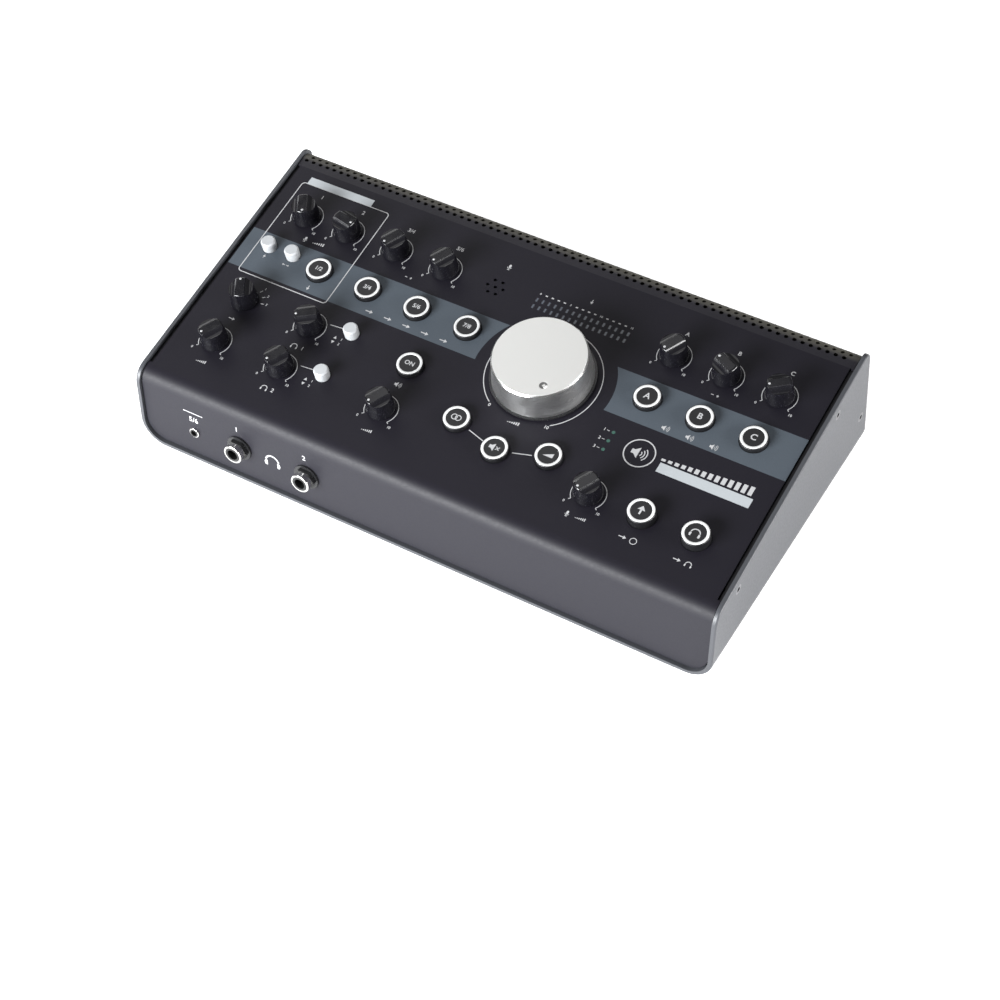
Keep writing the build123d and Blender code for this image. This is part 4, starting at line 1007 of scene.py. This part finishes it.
def release_tab(shape, centre):
    """Rounded tab over a combination socket's mouth, wider at its foot."""
    outline = arc((0, 0), TAB_RADIUS, 20, 160, 10)
    top = [shape.verts.new((*(centre + Vector((p.x, p.y + TAB_RISE))), TAB_TOP)) for p in outline]
    foot = [shape.verts.new((*(centre + Vector((1.15 * p.x, 1.1 * p.y + TAB_RISE))), TAB_FOOT))
            for p in outline]
    shape.faces.new(top)
    for step in range(len(top)):
        after = (step + 1) % len(top)
        shape.faces.new((foot[step], foot[after], top[after], top[step]))


def combo_trim():
    """Release tab and fixing screws on each combination socket."""
    tabs = bmesh.new()
    screws = bmesh.new()
    for x in COMBOS:
        centre = Vector((x, COMBO_HEIGHT))
        release_tab(tabs, centre)
        for offset in COMBO_SCREWS:
            lathe(screws, SCREW_HEAD, centre + Vector(offset), 24)
    keep("combo_release_tabs", tabs, REAR, "root", finishes["nut_nickel"])
    keep("combo_screws", screws, REAR, "root", finishes["screw_steel"], True)


def usb_contacts():
    """Tongue in the USB socket with its four contacts."""
    low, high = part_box("usb_socket")
    tongue = bmesh.new()
    bmesh.ops.create_cube(tongue, size=1.0)
    bmesh.ops.scale(tongue, vec=TONGUE_SIZE, verts=tongue.verts)
    bmesh.ops.bevel(tongue, geom=tongue.edges[:], offset=0.25, segments=2, affect="EDGES")
    middle = (USB_X * MM, high.y - TONGUE_DEPTH * MM, (low.z + high.z) / 2)
    place = Matrix.Translation(middle) @ Matrix.Scale(MM, 4)
    keep("usb_tongue", tongue, place, "root", finishes["push_plastic"])
    strips = bmesh.new()
    for x in (-CONTACT_X, CONTACT_X):
        for z in (-CONTACT_Z, CONTACT_Z):
            strip = bmesh.ops.create_cube(strips, size=1.0)["verts"]
            bmesh.ops.scale(strips, vec=CONTACT_SIZE, verts=strip)
            bmesh.ops.translate(strips, vec=(x, 0.2, z), verts=strip)
    bmesh.ops.bevel(strips, geom=strips.edges[:], offset=0.06, segments=1, affect="EDGES")
    keep("usb_contacts", strips, place, "root", finishes["nut_nickel"])


# --- Camera, floor and light -----------------------------------------------------------------------------

CAMERA_PLACE = Vector((0.4490, -0.6982, 0.8983))
CAMERA_WAY = Vector((-0.35824, 0.55370, -0.75170))
CAMERA_RIGHT = Vector((0.86113, 0.50715, -0.03675))
FOCAL_PIXELS, FRAME_PIXELS = 2175.23, 1000
FLOOR_SIZE, FLOOR_GLOW = 3.0, 0.5
ROOM_STRENGTH = 0.20
WHITE, COOL = (1, 1, 1), (0.96, 0.98, 1.0)
# Name, place, the point it looks at, its two sides in metres, its power and its colour.
LIGHTS = [
    ("overhead", (-0.36, 0.20, 1.10), (0, 0, 0.05), (0.6, 0.5), 0.9, WHITE),
    ("right_side", (1.30, 0.1, 0.32), (0.18, 0, 0.03), (0.9, 0.5), 30, WHITE),
    ("left_back", (-1.1, 0.7, 0.8), (0, 0, 0.03), (0.9, 0.9), 4.5, WHITE),
    ("front", (-0.50, -1.30, 0.42), (0, -0.1, 0.03), (1.1, 0.5), 72, COOL),
]


def set_camera():
    """Camera looking down on the controller from the right of its front."""
    back = -CAMERA_WAY.normalized()
    right = (CAMERA_RIGHT - back * CAMERA_RIGHT.dot(back)).normalized()
    up = back.cross(right)
    lens = bpy.data.cameras.new("camera")
    lens.sensor_width = 36
    lens.lens = lens.sensor_width * FOCAL_PIXELS / FRAME_PIXELS
    camera = bpy.data.objects.new("camera", lens)
    turn = Matrix((right, up, back)).transposed().to_4x4()
    camera.matrix_world = Matrix.Translation(CAMERA_PLACE) @ turn
    bpy.context.scene.collection.objects.link(camera)
    bpy.context.scene.camera = camera


def lay_floor():
    """Plain pale table top."""
    shape = bmesh.new()
    bmesh.ops.create_grid(shape, x_segments=8, y_segments=8, size=FLOOR_SIZE)
    mesh = bpy.data.meshes.new("floor")
    shape.to_mesh(mesh)
    shape.free()
    cover = Finish(
        "floor_white", (0.86, 0.86, 0.86), 0.7, Emission_Color=(*WHITE, 1), Emission_Strength=FLOOR_GLOW)
    cover.tint(cover.fade(cover.noise(700, 1), 0.3, 0.7, 0.0, 0.3), (0.82, 0.82, 0.83))
    mesh.materials.append(cover.material)
    floor = bpy.data.objects.new("floor", mesh)
    bpy.context.scene.collection.objects.link(floor)


def soft_light(name, place, aim, size, power, colour):
    lamp = bpy.data.lights.new(name, "AREA")
    lamp.shape = "RECTANGLE"
    lamp.size, lamp.size_y = size
    lamp.energy = power
    lamp.color = colour
    holder = bpy.data.objects.new(name, lamp)
    way = (Vector(aim) - Vector(place)).normalized()
    holder.matrix_world = Matrix.Translation(place) @ way.to_track_quat("-Z", "Y").to_matrix().to_4x4()
    bpy.context.scene.collection.objects.link(holder)


def light_room():
    """Soft boxes above, on the right, behind on the left and in front, in a white room."""
    for light in LIGHTS:
        soft_light(*light)
    world = bpy.data.worlds.new("room")
    world.use_nodes = True
    background = world.node_tree.nodes["Background"].inputs
    background["Color"].default_value = (*WHITE, 1)
    background["Strength"].default_value = ROOM_STRENGTH
    bpy.context.scene.world = world
    bpy.context.scene.view_settings.view_transform = "Standard"


set_camera()
lay_floor()
light_room()
dress_nodes()
print_panel()
print_front()
print_rear()
button_trim()
pointer_dots()
jack_contacts()
combo_trim()
usb_contacts()
